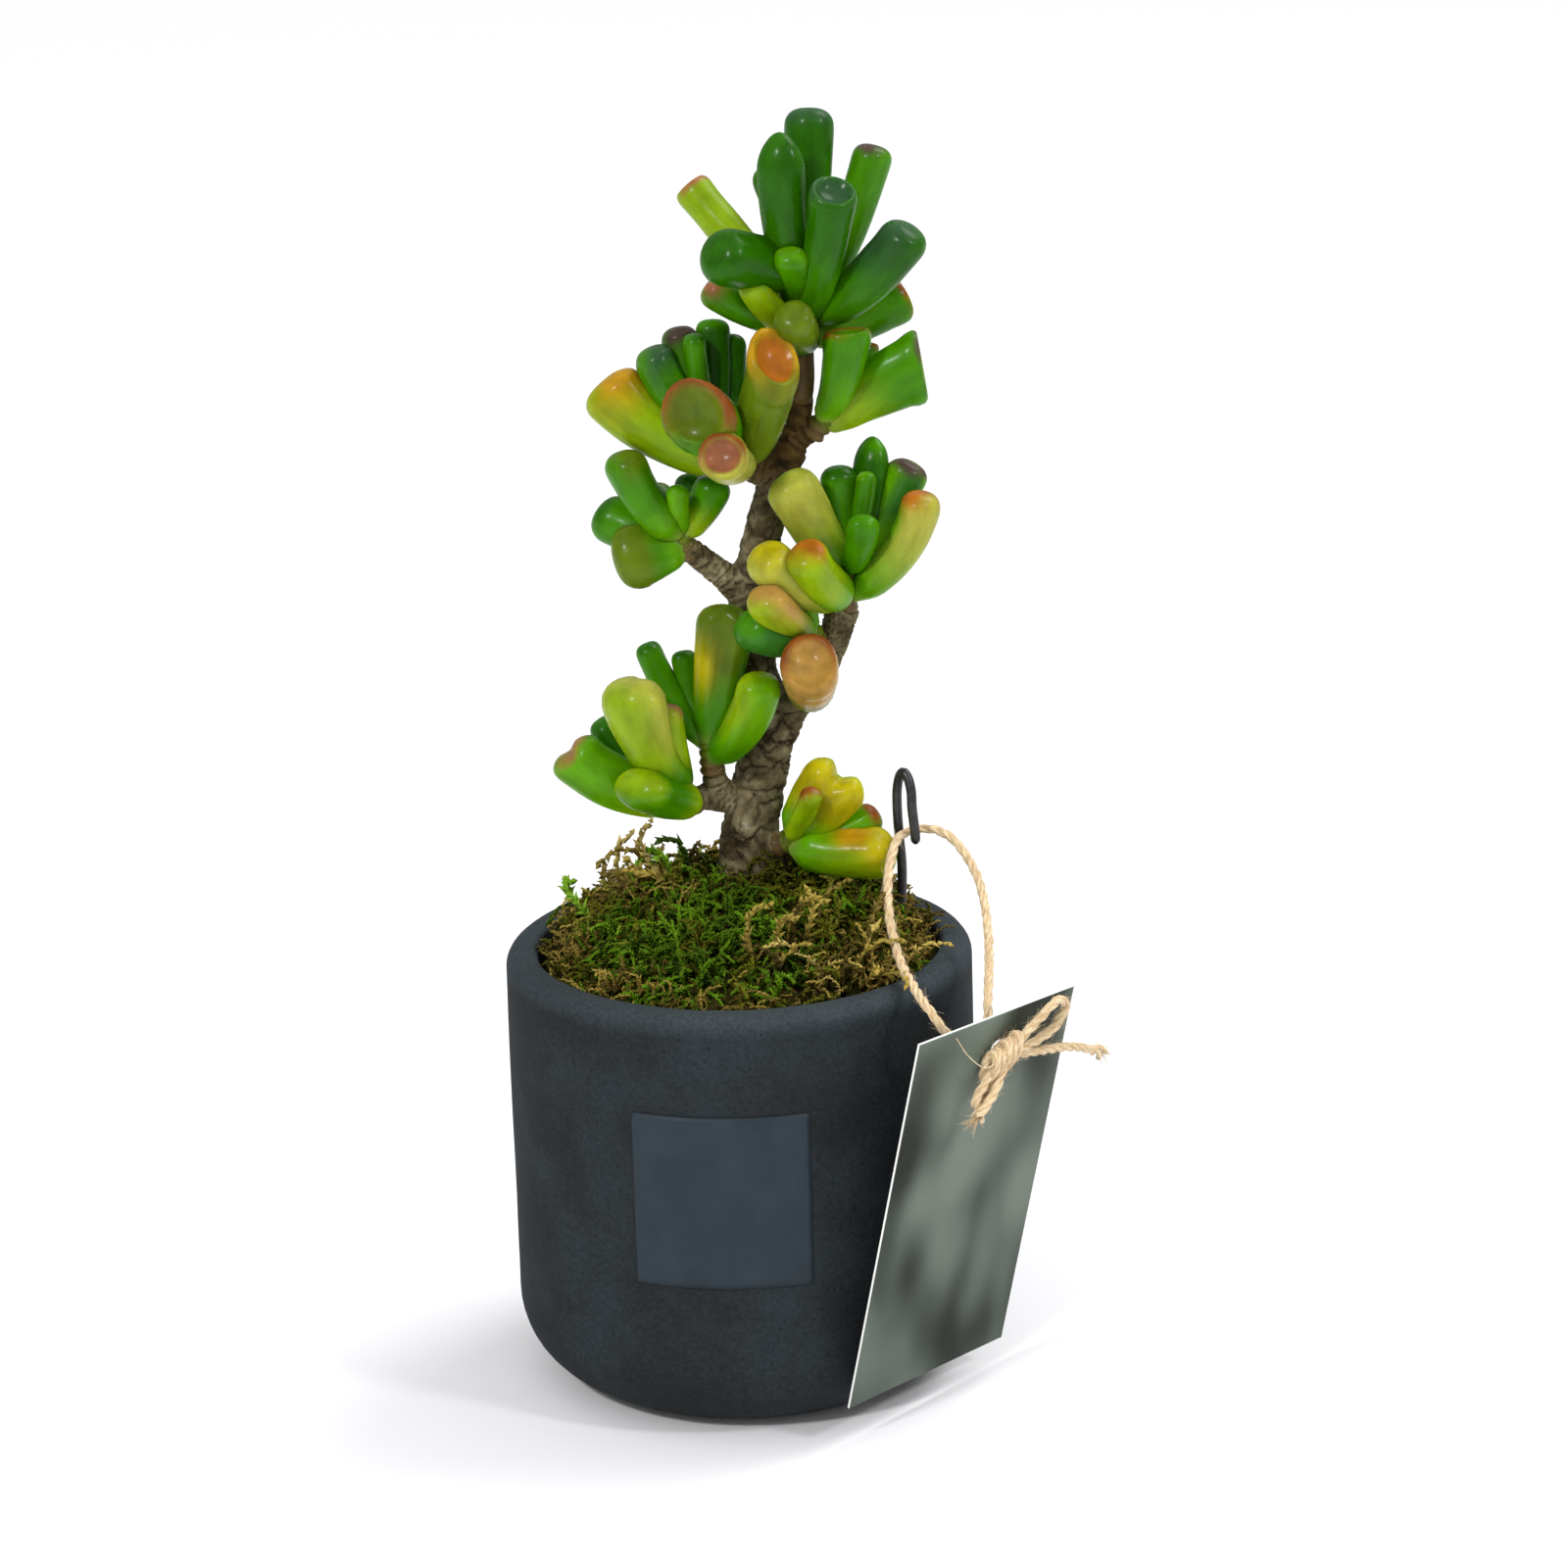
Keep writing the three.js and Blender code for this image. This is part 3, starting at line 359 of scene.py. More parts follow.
# ------------------------------------------------------------------ curves
class Route:
    """A smooth line through knots, read by shares of its length, with a frame that doesn't
    twist, or that keeps a given face."""

    def __init__(self, knots, face=None, smooth=True):
        knots = [Vector(k) for k in knots]
        self.points = self.rounded(knots) if smooth else knots
        self.marks = [0.0]
        for a, b in zip(self.points, self.points[1:]):
            self.marks.append(self.marks[-1] + (b - a).length)
        self.length = self.marks[-1]
        self.face = face
        self.ups = None if face else self.carried_ups()

    @staticmethod
    def rounded(knots):
        """Points of the centripetal curve through the knots."""
        ends = [2 * knots[0] - knots[1], *knots, 2 * knots[-1] - knots[-2]]
        points = []
        for a, b, c, d in zip(ends, ends[1:], ends[2:], ends[3:]):
            ab, bc, cd = ((q - p).length ** 0.5 for p, q in ((a, b), (b, c), (c, d)))
            leave = ((b - a) / ab - (c - a) / (ab + bc) + (c - b) / bc) * bc
            arrive = ((c - b) / bc - (d - b) / (bc + cd) + (d - c) / cd) * bc
            points += interpolate_bezier(b, b + leave / 3, c - arrive / 3, c, SPAN_STEPS + 1)[:-1]
        return points + [knots[-1]]

    def carried_ups(self):
        """An upward side at each point, carried along without a twist."""
        along = (self.points[1] - self.points[0]).normalized()
        up = along.orthogonal().normalized()
        ups = []
        for a, b in zip(self.points, self.points[1:]):
            along = (b - a).normalized()
            up = (up - along * up.dot(along)).normalized()
            ups.append(up)
        return ups + [ups[-1]]

    def span(self, share):
        """The span that a share of the length falls in."""
        passed = bisect.bisect_right(self.marks, share * self.length)
        return min(max(passed - 1, 0), len(self.points) - 2)

    def at(self, share):
        """The place at a share of the length; past the ends the line runs on straight."""
        k = self.span(share)
        a, b = self.points[k], self.points[k + 1]
        return a + (b - a).normalized() * (share * self.length - self.marks[k])

    def station(self, share):
        """How many knots lie before that place, with its share of the next span."""
        k = self.span(share)
        into = (share * self.length - self.marks[k]) / (self.marks[k + 1] - self.marks[k])
        return (k + min(max(into, 0), 1)) / SPAN_STEPS

    def direction(self, share):
        """The line's direction there."""
        step = 0.5 / (len(self.points) - 1)
        return (self.at(share + step) - self.at(share - step)).normalized()

    def frame(self, share):
        """The matrix that lays X to the side, Y up and Z along the line."""
        along = self.direction(share)
        up = self.face or self.ups[self.span(share)]
        up = (up - along * up.dot(along)).normalized()
        side = up.cross(along)
        return Matrix.Translation(self.at(share)) @ Matrix((side, up, along)).transposed().to_4x4()


def smoothstep(value, low, high):
    """0 under low, 1 over high, and smooth between."""
    t = min(max((value - low) / (high - low), 0), 1)
    return t * t * (3 - 2 * t)


def mix(a, b, share):
    """Colour a turned into b by a share."""
    return [x + (y - x) * share for x, y in zip(a, b)]


# ------------------------------------------------------------------ meshes
def spun(profile, sides):
    """A body turned about Z from (radius, height) pairs; ends on the axis close it."""
    bm = bmesh.new()
    verts = [bm.verts.new((r, 0, z)) for r, z in profile]
    edges = [bm.edges.new(pair) for pair in zip(verts, verts[1:])]
    bmesh.ops.spin(bm, geom=verts + edges, cent=(0, 0, 0), axis=(0, 0, 1), angle=math.tau,
                   steps=sides, use_merge=True)
    bmesh.ops.remove_doubles(bm, verts=bm.verts[:], dist=1e-6)
    bmesh.ops.recalc_face_normals(bm, faces=bm.faces[:])
    return bm


def rod(rings):
    """The profile of a rod of radius 1 and height 1 with closed ends."""
    return [(0, 0), *((1, k / rings) for k in range(rings + 1)), (0, 1)]


def arc(centre, radius, start, stop, steps):
    """Points of an arc in a profile, from one bearing in degrees to another."""
    bearings = (math.radians(start + (stop - start) * k / steps) for k in range(steps + 1))
    return [(centre[0] + radius * math.cos(b), centre[1] + radius * math.sin(b)) for b in bearings]


def tube(route, radius, sides, rings):
    """A tube along a route; radius is a rule of the share of its length.  The attribute
    grain holds each point's place in the straightened tube."""
    bm = spun(rod(rings), sides)
    grain = bm.verts.layers.float_vector.new("grain")
    frames = {}
    for v in bm.verts:
        share = v.co.z
        key = round(share, 5)
        if key not in frames:
            frames[key] = (route.frame(share), radius(share))
        laid, size = frames[key]
        flat = Vector((v.co.x * size, v.co.y * size, 0))
        v[grain] = Vector((flat.x, flat.y, share * route.length))
        v.co = laid @ flat
    bmesh.ops.recalc_face_normals(bm, faces=bm.faces[:])
    return bm


def as_mesh(name, bm):
    """The mesh of a bmesh, which is freed."""
    mesh = bpy.data.meshes.new(name)
    bm.to_mesh(mesh)
    bm.free()
    return mesh


def placed(name, data):
    """A new object in the scene, with a mesh, a lamp or a camera."""
    made = bpy.data.objects.new(name, data)
    bpy.context.scene.collection.objects.link(made)
    return made


def gather(bodies):
    """One bmesh with all the bodies in it."""
    whole = bmesh.new()
    for body in bodies:
        carrier = as_mesh("carrier", body)
        whole.from_mesh(carrier)
        bpy.data.meshes.remove(carrier)
    return whole


def piece(name, bm, material, smooth=True):
    """A finished piece from a bmesh, on the root body."""
    mesh = as_mesh(name, bm)
    for polygon in mesh.polygons:
        polygon.use_smooth = smooth
    mesh.materials.append(material)
    made = placed(name, mesh)
    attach(made, "root")
    return made


def applied(made):
    """The piece with its modifiers made part of its mesh."""
    evaluated = made.evaluated_get(bpy.context.evaluated_depsgraph_get())
    mesh = bpy.data.meshes.new_from_object(evaluated)
    old = made.data
    made.modifiers.clear()
    made.data = mesh
    bpy.data.meshes.remove(old)
    return made


# ------------------------------------------------------------------ materials
def new_material(name):
    """A material, its node tree and its shader."""
    material = bpy.data.materials.new(name)
    material.use_nodes = True
    return material, material.node_tree, material.node_tree.nodes[SHADER]


def feed(tree, node, inputs):
    """Sets a node's inputs: each to a value, or linked to an output or to a node's first."""
    for socket, value in inputs.items():
        if isinstance(value, bpy.types.Node):
            value = next(output for output in value.outputs if output.enabled)
        if isinstance(value, bpy.types.NodeSocket):
            tree.links.new(value, node.inputs[socket])
        else:
            node.inputs[socket].default_value = value


def add(tree, kind, inputs=None, stops=None, **settings):
    """Adds a node with its settings and its inputs; stops are a ramp's (place, colour)."""
    node = tree.nodes.new("ShaderNode" + kind)
    for key, value in settings.items():
        setattr(node, key, value)
    for place, shade in stops or ():
        ramp = node.color_ramp.elements
        fresh = ramp[0] if place == stops[0][0] else ramp[1] if place == stops[-1][0] else ramp.new(place)
        fresh.position = place
        fresh.color = (*shade, 1)
    feed(tree, node, inputs or {})
    return node


def toned(tree, shade, pattern, reads, scales):
    """The shade made darker and lighter: its scale goes from one of the scales to the other
    as the pattern goes from one of its reads to the other."""
    scale = add(tree, "MapRange", {"Value": pattern, "From Min": reads[0], "From Max": reads[1],
                                   "To Min": scales[0], "To Max": scales[1]})
    return add(tree, "VectorMath", {0: shade, "Scale": scale}, operation="SCALE")


def every(millimetres):
    """The Scale of a pattern whose features are that far apart."""
    return 1 / (millimetres * MM)


def rgba(shade):
    """The colour, fully opaque."""
    return (*shade[:3], 1)


def cast_concrete(pot):
    """Cast concrete dyed anthracite: matt, clouded by cement bloom, pinholed with painted shade in the pins,
    with a paler rim that is painted light from above and partly dust.
    """
    material, tree, shader = new_material("Cast concrete, dyed")
    place = add(tree, "TexCoord").outputs["Object"]
    cloud = add(tree, "TexNoise", {"Vector": place, "Scale": every(22), "Detail": 6, "Roughness": 0.6})
    bloom = add(tree, "MapRange", {"Value": cloud, "From Min": 0.42, "From Max": 0.75})
    base = add(tree, "Mix", {"Factor": bloom, "A": rgba(pot.concrete), "B": rgba(pot.bloom)},
               data_type="RGBA")
    height = add(tree, "SeparateXYZ", {"Vector": place}).outputs["Z"]
    # the rim turns paler near its top: painted light from above, partly paler dust
    rim = add(tree, "MapRange", {"Value": height, "From Min": RIM_LIGHT_AND_DUST[0], "From Max": RIM_LIGHT_AND_DUST[1],
                                 "To Max": RIM_LIGHT_AND_DUST_SHARE})
    rim_light_and_dust = add(tree, "Mix", {"Factor": rim, "A": base, "B": rgba(linear("#4c575c"))}, data_type="RGBA")
    sand = add(tree, "TexNoise", {"Vector": place, "Scale": every(0.9), "Detail": 3})
    gritty = toned(tree, rim_light_and_dust, sand, (0.3, 0.7), (0.78, 1.2))
    # the pinholes are darkened: painted shade inside them, beside their bump
    pins = add(tree, "TexVoronoi", {"Vector": place, "Scale": every(3.2), "Randomness": 1})
    hole = add(tree, "MapRange", {"Value": pins, "From Min": 0.05, "From Max": 0.13})
    skin = toned(tree, gritty, hole, (0, 1), (0.6, 1))
    grain = add(tree, "Bump", {"Height": sand, "Strength": 0.35, "Distance": 0.00012})
    pitted = add(tree, "Bump", {"Height": hole, "Strength": 0.5, "Distance": 0.0003, "Normal": grain})
    feed(tree, shader, {"Base Color": skin, "Roughness": 0.82, "Specular IOR Level": 0.1, "Normal": pitted})
    return material


def label_film(pot):
    """Satin vinyl film: a shade lighter than the concrete, whose grain shows through."""
    material, tree, shader = new_material("Vinyl film, satin")
    place = add(tree, "TexCoord").outputs["Object"]
    cloud = add(tree, "TexNoise", {"Vector": place, "Scale": every(9), "Detail": 5})
    grain = add(tree, "TexNoise", {"Vector": place, "Scale": every(0.8), "Detail": 2})
    shade = toned(tree, tuple(pot.film), cloud, (0.3, 0.7), (0.86, 1.12))
    bump = add(tree, "Bump", {"Height": grain, "Strength": 0.25, "Distance": 0.0001})
    feed(tree, shader, {"Base Color": shade, "Roughness": 0.5, "Specular IOR Level": 0.15, "Normal": bump})
    return material


def potting_soil():
    """Peat and bark crumbs: dark and fully matt."""
    material, tree, shader = new_material("Potting soil")
    place = add(tree, "TexCoord").outputs["Object"]
    crumbs = add(tree, "TexVoronoi", {"Vector": place, "Scale": every(2.5)})
    shade = add(tree, "ValToRGB", {"Fac": crumbs}, stops=[(0, linear("#4a3624")), (0.8, linear("#1d140c"))])
    bump = add(tree, "Bump", {"Height": crumbs, "Strength": 0.8, "Distance": 0.001})
    feed(tree, shader, {"Base Color": shade, "Roughness": 0.95, "Specular IOR Level": 0.1, "Normal": bump})
    return material


def moss_cushion():
    """The shaded inside of a moss cushion: dark with painted shade, crumbly and matt."""
    material, tree, shader = new_material("Moss, shaded inside")
    place = add(tree, "TexCoord").outputs["Object"]
    tufts = add(tree, "TexNoise", {"Vector": place, "Scale": every(2.2), "Detail": 5})
    shade = add(tree, "ValToRGB", {"Fac": tufts},
                stops=[(0.3, linear("#151204")), (0.55, linear("#262b08")), (0.75, linear("#464513"))])
    bump = add(tree, "Bump", {"Height": tufts, "Strength": 1, "Distance": 0.0015})
    feed(tree, shader, {"Base Color": shade, "Roughness": 0.95, "Specular IOR Level": 0.1, "Normal": bump})
    return material


def moss_sprig(name, foot, tip, pale):
    """Moss leaves: thin and matt, paler towards each sprig's tip, no two sprigs alike; dark at the foot,
    partly older stem and partly painted shade, and painted darker in low clumps.
    """
    material, tree, shader = new_material(name)
    reach = add(tree, "Attribute", attribute_name="reach").outputs["Fac"]
    tone_and_shade = add(tree, "Attribute", attribute_name="tone_and_shade").outputs["Fac"]
    # dark at each sprig's foot: partly older stem, partly painted shade deep in the mound
    along = add(tree, "ValToRGB", {"Fac": reach}, stops=[(0, foot), (0.75, tip)])
    # the tone: partly random, partly painted shade that darkens sprigs of lower clumps
    shade = toned(tree, along, tone_and_shade, (0, 1), (0.18, 1.85))
    # sprigs of the highest tone, which a raised clump adds to, turn pale: partly random, partly painted
    # light
    few = add(tree, "MapRange", {"Value": tone_and_shade, "From Min": 0.8, "To Max": 0.6})
    skin = add(tree, "Mix", {"Factor": few, "A": shade, "B": rgba(pale)}, data_type="RGBA")
    feed(tree, shader, {"Base Color": skin, "Roughness": 0.7, "Specular IOR Level": 0.1,
                        "Subsurface Weight": 0.1, "Subsurface Scale": 0.0008})
    return material


def jade_bark(plant):
    """Corky jade bark: grey plates, dark cracks and brown young wood, with painted shade in the cracks,
    leaf-scar grooves and low ground between plates; dry and matt.
    """
    material, tree, shader = new_material("Jade bark")
    place = add(tree, "TexCoord").outputs["Object"]
    crack_and_shade = add(tree, "Attribute", attribute_name="crack_and_shade").outputs["Fac"]
    young = add(tree, "Attribute", attribute_name="young").outputs["Fac"]
    fleck = add(tree, "TexNoise", {"Vector": place, "Scale": every(1.4), "Detail": 6, "Roughness": 0.65})
    patch = add(tree, "TexNoise", {"Vector": place, "Scale": every(5), "Detail": 4})
    grey = add(tree, "ValToRGB", {"Fac": patch},
               stops=[(0.34, linear("#493d24")), (0.5, tuple(plant.plate)), (0.66, linear("#8b8162"))])
    wood = add(tree, "Mix", {"Factor": young, "A": grey, "B": rgba(plant.young)}, data_type="RGBA")
    shade = toned(tree, wood, fleck, (0.3, 0.7), (0.6, 1.3))
    # darkened towards the crack colour: the cracks' own colour, and painted shade in grooves and low ground
    skin = add(tree, "Mix", {"Factor": crack_and_shade, "A": shade, "B": rgba(plant.crack_and_shade)}, data_type="RGBA")
    bump = add(tree, "Bump", {"Height": fleck, "Strength": 0.7, "Distance": 0.0004})
    feed(tree, shader, {"Base Color": skin, "Roughness": 0.85, "Specular IOR Level": 0.12, "Normal": bump})
    return material


def jade_leaf():
    """A water-filled leaf under a wax coat: glossy, faintly clouded, lit a little from inside."""
    material, tree, shader = new_material("Jade leaf, waxy")
    skin = add(tree, "Attribute", attribute_name="skin")
    grain = add(tree, "Attribute", attribute_name="grain").outputs["Vector"]
    drawn = add(tree, "Mapping", {"Vector": grain, "Scale": (1, 1, 0.4)})
    cloud = add(tree, "TexNoise", {"Vector": drawn, "Scale": every(3.6), "Detail": 3})
    shade = toned(tree, skin, cloud, (0.32, 0.68), (0.82, 1.22))
    swell = add(tree, "TexNoise", {"Vector": grain, "Scale": every(2), "Detail": 4})
    gloss = add(tree, "MapRange", {"Value": swell, "From Min": 0.3, "From Max": 0.7, "To Min": 0.22,
                                   "To Max": 0.4})
    bump = add(tree, "Bump", {"Height": swell, "Strength": 0.45, "Distance": 0.0005})
    feed(tree, shader, {"Base Color": shade, "Roughness": gloss, "Specular IOR Level": 0.05,
                        "Subsurface Weight": 0.45, "Subsurface Scale": 0.004,
                        "Subsurface Radius": (0.7, 1.0, 0.15),
                        "Coat Weight": 0.16, "Coat Roughness": 0.2, "Normal": bump})
    return material


def black_enamel(tag):
    """Steel wire with black enamel: satin, with soft long highlights."""
    material, tree, shader = new_material("Steel wire, black enamel")
    place = add(tree, "TexCoord").outputs["Object"]
    wear = add(tree, "TexNoise", {"Vector": place, "Scale": every(1.5), "Detail": 4})
    gloss = add(tree, "MapRange", {"Value": wear, "To Min": 0.28, "To Max": 0.5})
    shade = add(tree, "ValToRGB", {"Fac": wear}, stops=[(0.45, tuple(tag.wire)), (0.8, linear("#34342f"))])
    feed(tree, shader, {"Base Color": shade, "Roughness": gloss})
    return material


def jute_fibre(tag):
    """Twisted jute: straw gold, dry, streaked along its fibres, drawn coarse so they show."""
    material, tree, shader = new_material("Jute twine")
    grain = add(tree, "Attribute", attribute_name="grain").outputs["Vector"]
    strand = add(tree, "Mapping", {"Vector": grain, "Scale": (1, 1, 0.08)})
    streak = add(tree, "TexNoise", {"Vector": strand, "Scale": every(0.16), "Detail": 3})
    shade = add(tree, "ValToRGB", {"Fac": streak},
                stops=[(0.26, linear("#b07c38")), (0.48, tuple(tag.jute)), (0.72, linear("#fff0c8"))])
    bump = add(tree, "Bump", {"Height": streak, "Strength": 0.9, "Distance": 0.0002})
    feed(tree, shader, {"Base Color": shade, "Roughness": 0.8, "Sheen Weight": 0.3, "Normal": bump})
    return material


def printed_card(tag):
    """Coated card: satin ink in soft, out-of-focus bands of grey-green, darker towards the bottom and the
    top.
    """
    material, tree, shader = new_material("Coated card, printed")
    place = add(tree, "UVMap", uv_map="card")
    turned = add(tree, "Mapping", {"Vector": place, "Rotation": (0, 0, math.radians(52)),
                                   "Scale": (1, 0.4, 1)})
    bands = add(tree, "TexNoise", {"Vector": turned, "Scale": every(22), "Detail": 1, "Distortion": 0.3})
    cloud = add(tree, "TexNoise", {"Vector": place, "Scale": every(38), "Detail": 1})
    blend = add(tree, "Mix", {"Factor": 0.5, "A": bands, "B": cloud})
    shade = add(tree, "ValToRGB", {"Fac": blend},
                stops=[(0.36, tuple(tag.dark)), (0.48, linear("#64755c")), (0.6, tuple(tag.light))])
    shade.color_ramp.interpolation = "EASE"
    height = add(tree, "SeparateXYZ", {"Vector": place}).outputs["Y"]
    up = add(tree, "MapRange", {"Value": height, "From Max": TAG_SIZE[1]})
    # darker towards the bottom edge and towards the top
    dim = add(tree, "ValToRGB", {"Fac": up},
              stops=[(0, (0.3,) * 3), (0.5, (1.0,) * 3), (0.8, (0.9,) * 3), (1, (0.4,) * 3)])
    ink = add(tree, "Mix", {"Factor": 1, "A": shade, "B": dim}, data_type="RGBA", blend_type="MULTIPLY")
    feed(tree, shader, {"Base Color": ink, "Roughness": 0.45, "Specular IOR Level": 0.12})
    return material


def cut_paper(tag):
    """The card's cut edge: bare white paper, matt, its fibres drawn coarse so they show."""
    material, tree, shader = new_material("Card edge, cut")
    place = add(tree, "TexCoord").outputs["Object"]
    fibre = add(tree, "TexNoise", {"Vector": place, "Scale": every(0.3), "Detail": 2})
    shade = toned(tree, tuple(tag.paper), fibre, (0, 1), (0.88, 1))
    feed(tree, shader, {"Base Color": shade, "Roughness": 0.9})
    return material


def plain_floor(stage):
    """A seamless pale sweep."""
    material, tree, shader = new_material("Paper sweep")
    feed(tree, shader, {"Base Color": rgba(stage.floor), "Roughness": 0.9, "Specular IOR Level": 0.1})
    return material


# ------------------------------------------------------------------ camera and cords
class BONSAI_OT_camera(Operator):
    """Add the camera in front of the pot, a little above it"""
    bl_idname = "bonsai.camera"
    bl_label = "Camera"
    place = (0, -0.93116, 0.41636)
    lens, sensor = 101.25, 36          # mm
    pitch, yaw, roll = 16.81, 0.68, -1.56
    nearest, farthest = 0.01, 50       # metres, between which things are drawn

    def execute(self, context):
        data = bpy.data.cameras.new("camera")
        data.lens = self.lens
        data.sensor_width = self.sensor
        data.clip_start, data.clip_end = self.nearest, self.farthest
        camera = placed("camera", data)
        camera.matrix_world = (
            Matrix.Translation(self.place)
            @ Matrix.Rotation(-math.radians(self.yaw), 4, "Z")
            @ Matrix.Rotation(math.radians(90 - self.pitch), 4, "X")
            @ Matrix.Rotation(math.radians(self.roll), 4, "Z")
        )
        context.scene.camera = camera
        return {"FINISHED"}


PLIES = 3
PLY_RADIUS = 0.00056
PLY_OFFSET = 0.00052                   # from the twine's middle to a ply's
PLY_SWELL = 0.14                       # by how much of itself its radius varies
PLY_SIDES = 8
LAY_LENGTH = 0.0095                    # one turn of the plies
STEPS_PER_TURN = 14
FRAYED_FROM = 0.86                     # share of the length where a frayed end starts
FRAY_SPREAD = 1.6                      # how much farther out its plies end, in offsets
HAIR_RADIUS = 0.00004
FRINGE_RADIUS = 0.00007
LOOSE_RADIUS = 0.00016                 # the one long fibre that has left the bow


def swelling(spot):
    """A rule for a ply's radius, which varies along it as spun fibre does."""
    return lambda share: PLY_RADIUS * (1 + PLY_SWELL * noise.noise(Vector((spot, 0, 60 * share))))


def tapered(radius, loss):
    """A rule for a fibre's radius: a tenth over it at the root, and less by the loss at the
    tip."""
    return lambda share: radius * (1.1 - loss * share)


def twisted(route, draw, fray=(0, 0), hairs=2.6):
    """Bodies of a length of twine: its plies, and its loose hairs per millimetre.  fray is
    how much the plies spread at its start and end."""
    steps = max(8, round(route.length / LAY_LENGTH * STEPS_PER_TURN))
    bodies = []
    for ply in range(PLIES):
        knots = []
        for k in range(steps + 1):
            share = k / steps
            opened = (fray[0] * smoothstep(1 - share, FRAYED_FROM, 1)
                      + fray[1] * smoothstep(share, FRAYED_FROM, 1))
            turn = math.tau * (share * route.length / LAY_LENGTH + ply / PLIES)
            offset = PLY_OFFSET * (1 + FRAY_SPREAD * opened)
            knots.append(route.frame(share) @ Vector((offset * math.cos(turn), offset * math.sin(turn), 0)))
        line = Route(knots, smooth=False)
        bodies.append(tube(line, swelling(draw.uniform(0, 100)), PLY_SIDES, steps))
    for _ in range(round(route.length / MM * hairs)):
        bodies.append(hair(route, draw))
    return bodies


def hair(route, draw):
    """One loose fibre, which leaves the twine's skin at a flat angle."""
    share = draw.random()
    turn = draw.uniform(0, math.tau)
    out = Vector((math.cos(turn), math.sin(turn), 0))
    across = Vector((-math.sin(turn), math.cos(turn), 0))
    reach = draw.uniform(0.4, 1.3) * MM
    run = draw.uniform(1.0, 3.2) * MM * draw.choice((-1, 1))
    skew = draw.uniform(-0.8, 0.8) * MM
    laid = route.frame(share)
    skin = out * TWINE_DIAMETER * 0.45
    knots = [skin, skin + out * reach * 0.35 + Vector((0, 0, run * 0.5)),
             skin + out * reach + across * skew + Vector((0, 0, run))]
    return tube(Route([laid @ k for k in knots]), tapered(HAIR_RADIUS, 0.8), 3, 4)


class BONSAI_OT_twine(Operator):
    """Add the twine that hangs over the hook, and its bow on the tag"""
    bl_idname = "bonsai.twine"
    bl_label = "Twine and bow"
    seed = 3                           # of the draw that places the hairs
    stand = -2.9                       # the bow's middle, in mm before the card's along Y
    wraps = ((-4.4, 0.2), (-2.6, -0.3), (-0.8, 0.4), (1, -0.3), (2.8, 0.2))    # across and up, in mm
    hairs = 3.2                        # per millimetre of the bow's strands
    fringe_fibres = 46                 # of a frayed end

    def execute(self, context):
        draw = random.Random(self.seed)
        jute = jute_fibre(context.scene.bonsai_tag)
        route = Route(TWINE_ROUTE)
        twine = piece("jute_twine", gather(twisted(route, draw)), jute)
        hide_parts("twine")
        bow = piece("jute_bow", gather(self.bow(draw)), jute)
        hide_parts("twine_bow")
        [route.at(k / 160) for k in range(161)]
        return {"FINISHED"}

    def bow(self, draw):
        """The strands of the bow, in mm in the card's own frame, its face towards -Y: two
        loops, two frayed ends, the way through the hole and the wraps round the knot."""
        front = self.stand
        strands = [
            ([(3, front, 81), (9.6, front - 1, 86.5), (15, front - 1.6, 90.4), (18.6, front - 1.6, 88.6),
              (16.6, front - 1.2, 83.4), (4, front, 79.6)], (0, 0)),
            ([(1, front, 79.5), (-4, front - 0.8, 76.8), (-8.4, front - 1.4, 72), (-6.4, front - 1.4, 70.4),
              (-1.4, front - 0.6, 74.4), (1.6, front, 79)], (0, 0)),
            ([(3, front, 79.6), (13, front - 0.8, 78.4), (25, front - 1.4, 76.4), (36.6, front - 1.6, 72)],
             (0, 1)),
            ([(1, front - 0.8, 79), (-4.4, front - 3, 73.6), (-9.4, front - 3.4, 69.4)], (0, 1)),
            ([(2, 0.5, 80), (2, -1.6, 80), (1.4, front + 0.4, 80)], (0, 0)),
        ]
        turns = [math.tau * k / 8 for k in range(10)]
        for lean, lift in self.wraps:
            ring = [(1.2 + lean + 0.7 * math.sin(a), front + 1.4 * math.cos(a),
                     80 + 0.4 * lean + lift + 3.1 * math.sin(a)) for a in turns]
            strands.append((ring, (0, 0)))
        bodies = []
        for knots, fray in strands:
            route = self.on_card(knots)
            bodies += twisted(route, draw, fray, hairs=self.hairs)
            if fray[1]:
                bodies += [self.fringe(route, draw) for _ in range(self.fringe_fibres)]
        loose = self.on_card([(-1, front - 1, 80.6), (-7, front - 1.6, 80), (-13, front - 0.6, 84),
                              (-18, front, 89.4)])
        return bodies + [tube(loose, tapered(LOOSE_RADIUS, 0.5), 4, 24)]

    @staticmethod
    def on_card(knots):
        """The route through knots that are given in mm in the card's own frame."""
        return Route([card_frame() @ (Vector(k) * MM) for k in knots])

    def fringe(self, route, draw):
        """One fibre of a frayed end."""
        start = draw.uniform(0.9, 1.0)
        spread = Vector((draw.gauss(0, 1), draw.gauss(0, 1), 0)) * 0.9 * MM
        run = draw.uniform(1.5, 4.5) * MM
        knots = [spread * 0.25, spread * 0.8 + Vector((0, 0, run * 0.5)),
                 spread * 1.7 + Vector((0, 0, run))]
        laid = route.frame(start)
        return tube(Route([laid @ k for k in knots]), tapered(FRINGE_RADIUS, 0.7), 3, 4)


def card_frame():
    """The matrix that stands the card's own frame where the card hangs."""
    return (
        Matrix.Translation(TAG_FOOT)
        @ Matrix.Rotation(math.radians(TAG_TURN), 4, "Z")
        @ Matrix.Rotation(math.radians(TAG_LEAN), 4, "X")
        @ Matrix.Rotation(math.radians(TAG_TILT), 4, "Y")
    )


